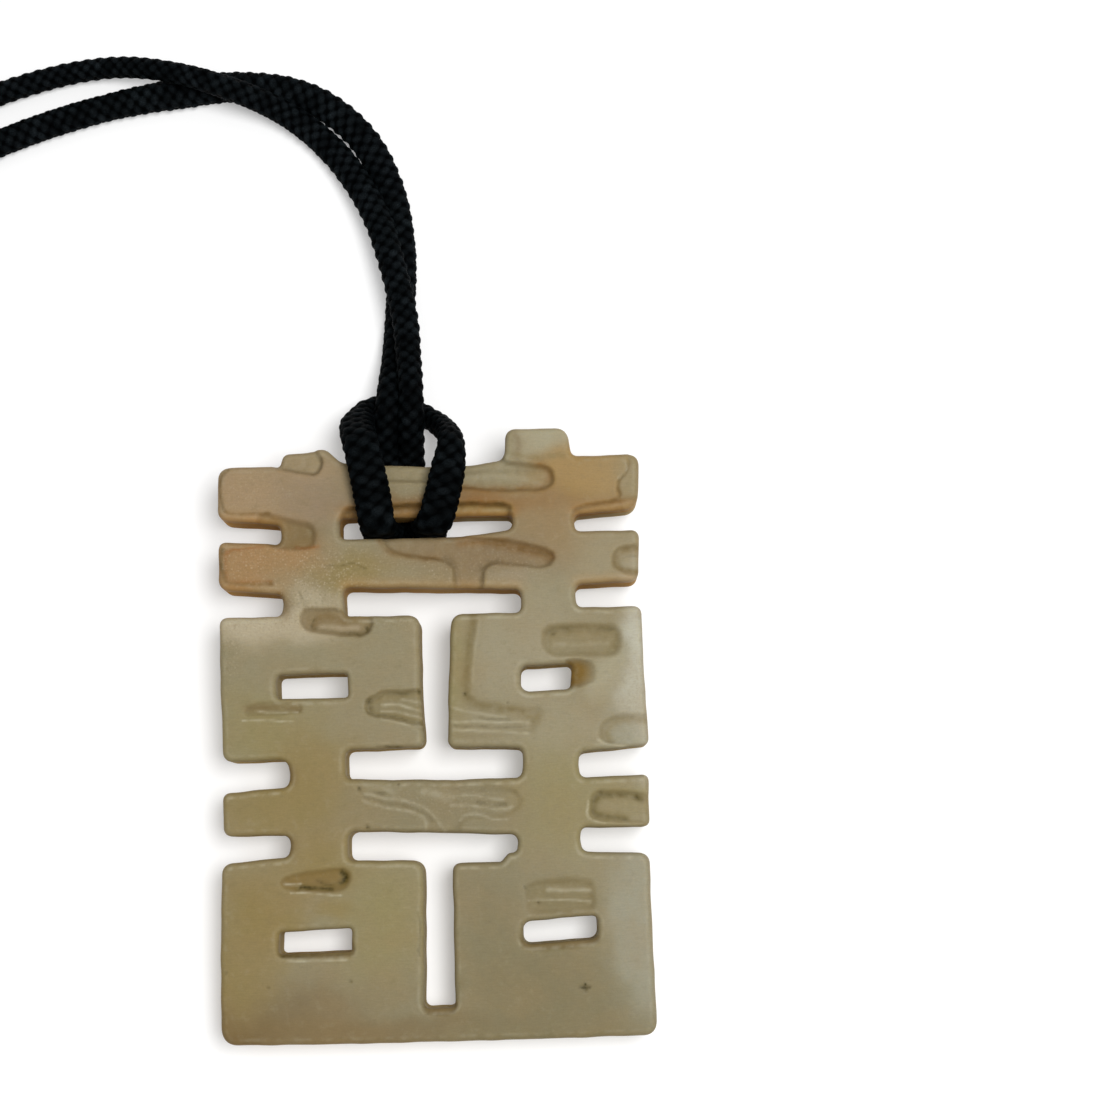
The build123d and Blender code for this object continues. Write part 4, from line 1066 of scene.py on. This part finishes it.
def carve(points):
    """Depth of the carving, and the masks that the stone's looks are made from."""
    ground = moved(points, JITTER_SIZE, JITTER, 3)
    nothing = np.zeros(len(points))
    depth, rim, light, darkening = nothing, nothing, nothing, nothing
    floors = {name: nothing for name in FLOORS}
    grain = waves(points, GRAIN_SIZE, 7)
    for deep, slope, tint, corners in HOLLOWS.values():
        share = smooth(hollow_depth(ground, corners) / slope + 0.5)
        depth = np.maximum(depth, deep * share * (1 + FLOOR_GRAIN * grain))
        # painted shade down the sides of each hollow
        rim = np.maximum(rim, 4 * share * (1 - share) * min(1, deep / FULL_RIM_DEPTH))
        floors[tint] = np.maximum(floors[tint], share)
    along = np.clip(ground[:, 0] - RAMP_FOOT[0], 0, None) / RAMP_REACH[0]
    beside = np.abs(ground[:, 1] - RAMP_FOOT[1]) / RAMP_REACH[1]
    ramp = np.clip(RAMP_STEEPNESS * (1 - np.sqrt(along ** 2 + beside ** 3)), 0, 1)
    ramp *= smooth((ground[:, 0] - RAMP_FROM) / RAMP_BLEND)
    depth = np.maximum(depth, RAMP_DEPTH * ramp)
    broken = np.clip(0.8 + 0.8 * grain, 0, 1.2)
    # raised tool lines get a painted highlight, grooves are darkened
    for height, width, bright, dark, corners in LINES:
        along = stroke(ground, corners, width)
        depth = depth - height * along
        light = np.maximum(light, bright * along * broken)
        darkening = np.maximum(darkening, dark * along * broken)
    for u, v, radius, strength in SPECKS:
        spot = strength * fading(np.linalg.norm(ground - (u, v), axis=1), radius)
        darkening = np.maximum(darkening, spot)
        depth = depth + SPECK_DEPTH * spot
    return SimpleNamespace(
        ground=ground, grain=grain, depth=depth, rim=rim, floors=floors, ramp=ramp, light=light, darkening=darkening)


def blend(colour, share, other):
    """Each point's colour moved towards the other by its share."""
    share = share[:, None]
    return colour * (1 - share) + share * other


def stone_tint(points):
    """The stone's own colour, between that of the patches near each point."""
    places = moved(points, 5.0, 1.2, 11)
    weight = np.full(len(points), STONE_WEIGHT)
    colour = weight[:, None] * linear(TINTS["stone"])
    for tint, *patch in PATCHES:
        share = bell(places, *patch)
        colour += share[:, None] * linear(TINTS[tint])
        weight += share
    return colour / weight[:, None]


def wall_tint(spot):
    """Walls: amber at the top, olive lower down, bright at the cord slot's upper right,
    grey towards the lower right, and dull where they face right."""
    u, v = spot.points.T
    colour = np.tile(linear(WALLS["amber"]), (len(u), 1))
    slot_right = smooth((v - 49.8) / 0.5) * smooth((u - 1) / 3) * smooth((3.4 - spot.heights) / 1.4)
    for name, share in (
        ("olive", smooth((43 - v) / 3)),
        ("bright", slot_right),
        ("grey", smooth((40 - v) / 20) * smooth((u + 6) / 12)),
        ("dull", 0.8 * spot.faces_right * smooth((46 - v) / 6)),
    ):
        colour = blend(colour, share, linear(WALLS[name]))
    return colour


def plate_tint(spot, cut):
    """The colour of every point: stone, hollows, bands, edges and walls."""
    u, v = spot.points.T
    colour = stone_tint(spot.points)
    for name, (tint, strength) in FLOORS.items():
        colour = blend(colour, strength * cut.floors[name] * spot.front, linear(tint))
    colour = blend(colour, np.clip(1.5 * cut.ramp, 0, 0.95) * spot.front, linear(TINTS["ochre"]))
    broken = np.clip(0.85 + 0.5 * cut.grain, 0, 1)
    for tint, width, share, corners in BANDS:
        along = share * stroke(cut.ground, corners, width)
        colour = blend(colour, along * spot.front * broken, linear(TINTS[tint]))
    # the upper bars' amber laid on edges that face down: partly the stone's colour, partly painted shade
    upper_edges = np.clip(spot.inward[:, 1], 0, 1) * smooth((v - 38) / 8)
    bevel_shade = fading(spot.edge, BEVEL_SHADE_REACH) * spot.top * upper_edges
    colour = blend(colour, BEVEL_SHADE_SHARE * bevel_shade, linear(WALLS["amber"]))
    # a painted dark reflection on the edges that face right along the plate's right side
    right_reflection = spot.faces_right * smooth(u - RIGHT_REFLECTION_FROM) * fading(spot.edge, RIGHT_REFLECTION_REACH)
    colour = blend(colour, RIGHT_REFLECTION_SHARE * right_reflection * spot.top, linear(WALLS["edge"]))
    below_rim = smooth((PLATE_THICKNESS - spot.heights) / WALL_BLEND)
    return blend(colour, WALL_SHARE * spot.on_wall * below_rim, wall_tint(spot))


def lay_down(points):
    """From the plate's own frame to the row's, in millimetres."""
    u, v, w = points.T
    c, s = math.cos(PLATE_TILT), math.sin(PLATE_TILT)
    return np.stack([u, c * v - s * w + PLATE_LIFT[0], s * v + c * w + PLATE_LIFT[1]], 1)


def build_jade(material):
    loops = [cut_loop(OUTSIDE, 1, True)]
    loops += [cut_loop(corners, 10 + k, False) for k, corners in enumerate(OPENINGS.values())]
    points, heights, faces = plate_mesh(loops)
    near, edge = nearest(np.vstack(loops), points)
    inward = np.vstack([loop_normals(loop) for loop in loops])[near]
    front = smooth((heights - 0.5 * PLATE_THICKNESS) / (0.45 * PLATE_THICKNESS))
    spot = SimpleNamespace(
        points=points,
        heights=heights,
        edge=edge,
        inward=inward,
        front=front,
        top=heights > 0.5 * PLATE_THICKNESS,
        on_wall=1 - smooth(edge / WALL_REACH),
        faces_right=np.clip(-inward[:, 0], 0, 1),
    )
    cut = carve(points)
    swell = sum(height * waves(points, size, seed) for height, size, seed in SWELLS)
    shoulder = SHOULDER * fading(edge, SHOULDER_REACH)
    carved = heights - front * (cut.depth + shoulder * spot.top - swell * spot.top)
    carved += (heights < 0.5) * BACK_WAVES * (1 + waves(points, 5.0, 31))
    jade = add_mesh("carved_jade", lay_down(np.column_stack([points, carved])), faces, material)

    # a painted highlight along the rims, stronger on those that face up
    highlight = RIM_HIGHLIGHT * fading(edge - RIM_HIGHLIGHT_PLACE, RIM_HIGHLIGHT_WIDTH) * spot.top
    faces_up = np.clip(-inward[:, 1], 0, 1) * smooth((46 - points[:, 1]) / 4)
    highlight = highlight * np.clip(0.6 + 1.3 * cut.grain, 0, 1.3) * (1 + 1.8 * faces_up)
    light = np.maximum(cut.light, highlight)
    frost = np.clip(sum(bell(points, *patch) for patch in FROST), 0, 1)
    frost *= front * (1 - 0.8 * cut.floors["brown"])
    # painted shade on the rounded edges and walls, left off the edges that face right towards the lamp
    shaded = spot.on_wall * front * (1 - 0.9 * spot.faces_right)
    add_colours(jade.data, "tint", plate_tint(spot, cut))
    # marks: painted shade down the hollows' sides, darkening along grooves and at specks, painted
    # highlights on rims and raised lines
    add_colours(jade.data, "marks", np.stack([cut.rim * front, cut.darkening * front, light * front], 1))
    add_colours(jade.data, "skin", np.stack([frost, shaded, front], 1))
    return jade


# How the stone answers this light: a tint as seen is its base colour times the gain,
# less the veil that the gloss lays over it.
STONE_GAIN = 0.87
STONE_VEIL = 0.022
# Tints of the fine marks, as seen. One is laid as a painted highlight on rims and raised lines, and the
# crystals' tint carries a painted glint.
MARKS = {
    "warm cloud": (151, 131, 96), "pale cloud": (168, 160, 134), "dark cloud": (124, 112, 83),
    "crystal_and_glint": (200, 189, 164), "pit": (125, 110, 84), "highlight": (190, 184, 160), "darkening": (74, 67, 34),
}
# painted shade on the rounded edges and down the sides of the hollows
EDGE_SHADE = (0.7, 0.64, 0.53)
HOLLOW_SHADE = (0.74, 0.68, 0.57)


def stone(name):
    """Base colour of a mark that is to be seen in its tint."""
    return tuple(np.maximum(linear(MARKS[name]) * STONE_GAIN - STONE_VEIL, 0.001).tolist())


def jade_material():
    make = Shading("greenish_grey_jade")
    rim, darkening, light = make.channels(make.painted("marks"))
    frost, bevel_shade, front = make.channels(make.painted("skin"))
    wall = make.maths("SUBTRACT", 1.0, front)
    place = make.millimetres()
    cloud = make.noise(place, 0.22, 4.0, 0.6)
    mottle = make.noise(place, 1.1, 5.0, 0.62)
    grain = make.noise(place, 7.0, 4.0, 0.6)
    speck = make.noise(place, 3.2, 2.0, 0.5)
    flecks = make.noise(place, 4.6, 4.0, 0.65)
    scratches = make.noise(place, 1.0, 3.0, 0.6, (1.2, 9.0, 1.0))
    crystals = make.add("TexVoronoi", {"Vector": place, "Scale": 4.2})

    # the stone's tint, with clouds and fine grain
    gain, veil = (STONE_GAIN, STONE_GAIN, STONE_GAIN), (STONE_VEIL, STONE_VEIL, STONE_VEIL * 0.75)
    colour = make.mix(1.0, make.painted("tint"), gain, "MULTIPLY")
    colour = make.mix(1.0, colour, veil, "SUBTRACT")
    colour = make.mix(make.remap(cloud, 0.38, 0.66, 0.0, 0.3), colour, stone("warm cloud"))
    colour = make.mix(make.remap(mottle, 0.56, 0.78, 0.0, 0.22), colour, stone("pale cloud"))
    colour = make.mix(make.remap(mottle, 0.44, 0.26, 0.0, 0.25), colour, stone("dark cloud"))
    for texture, low, high in ((grain, 0.9, 1.1), (scratches, 0.88, 1.12), (flecks, 0.93, 1.07)):
        fine = make.mix(texture, (low, low, low * 0.99), (high, high, high * 1.01))
        colour = make.mix(1.0, colour, fine, "MULTIPLY")

    # painted shade round the edges and down the sides of the hollows
    shaded = make.mix(1.0, colour, EDGE_SHADE, "MULTIPLY")
    colour = make.mix(make.remap(bevel_shade, 0.3, 1.0, 0.0, 0.3), colour, shaded)
    shaded = make.mix(1.0, colour, HOLLOW_SHADE, "MULTIPLY")
    colour = make.mix(make.remap(rim, 0.0, 1.0, 0.0, 0.5), colour, shaded)

    # pale crystals with a painted glint and pits in the frosted skin, painted highlights on rims and raised
    # lines, and darkening along grooves and at specks
    # pale crystals in the frosted skin, partly a painted glint
    sparkle = make.product(
        make.remap(crystals.outputs["Distance"], 0.2, 0.7, 1.0, 0.0),
        make.remap(make.channels(crystals.outputs["Color"])[0], 0.25, 1.0, 0.0, 0.5),
        make.remap(flecks, 0.42, 0.6, 0.1, 1.0),
        frost,
    )
    colour = make.mix(sparkle, colour, stone("crystal_and_glint"))
    pits = make.product(frost, make.remap(flecks, 0.46, 0.34, 0.0, 0.3))
    colour = make.mix(pits, colour, stone("pit"))
    colour = make.mix(light, colour, stone("highlight"))
    colour = make.mix(make.product(darkening, make.remap(speck, 0.3, 0.6, 0.6, 1.0)), colour, stone("darkening"))

    rough = make.maths("ADD", make.remap(mottle, 0.3, 0.7, 0.42, 0.58), make.product(frost, 0.18))
    fine = make.maths("ADD", grain, make.product(scratches, 0.6))
    return make.finish({
        "Base Color": colour,
        "Roughness": make.maths("ADD", rough, make.product(wall, 0.35)),
        "IOR": 1.5,
        "Specular IOR Level": make.remap(wall, 0.0, 0.6, 0.12, 0.02),
        "Subsurface Weight": 0.35,
        "Subsurface Radius": (1.0, 0.78, 0.42),
        "Subsurface Scale": 1.1 * MM,
        "Normal": make.bump(make.product(fine, make.remap(frost, 0.0, 1.0, 0.3, 0.8)), 0.04),
    })


add_camera()
add_light()
add_world()
add_floor()

cord, cord_line, cord_length = build_cord(cord_material())
clasp = build_clasp(clasp_material())
jade = build_jade(jade_material())

for piece, node_names, slot in (
    (cord, ("cord_strand_a", "cord_hitch", "cord_strand_b"), "cord"),
    (clasp, ("cord_clasp",), "clasp"),
    (jade, ("jade_plate",), "jade"),
):
    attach(piece, "root")
    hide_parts(*node_names)
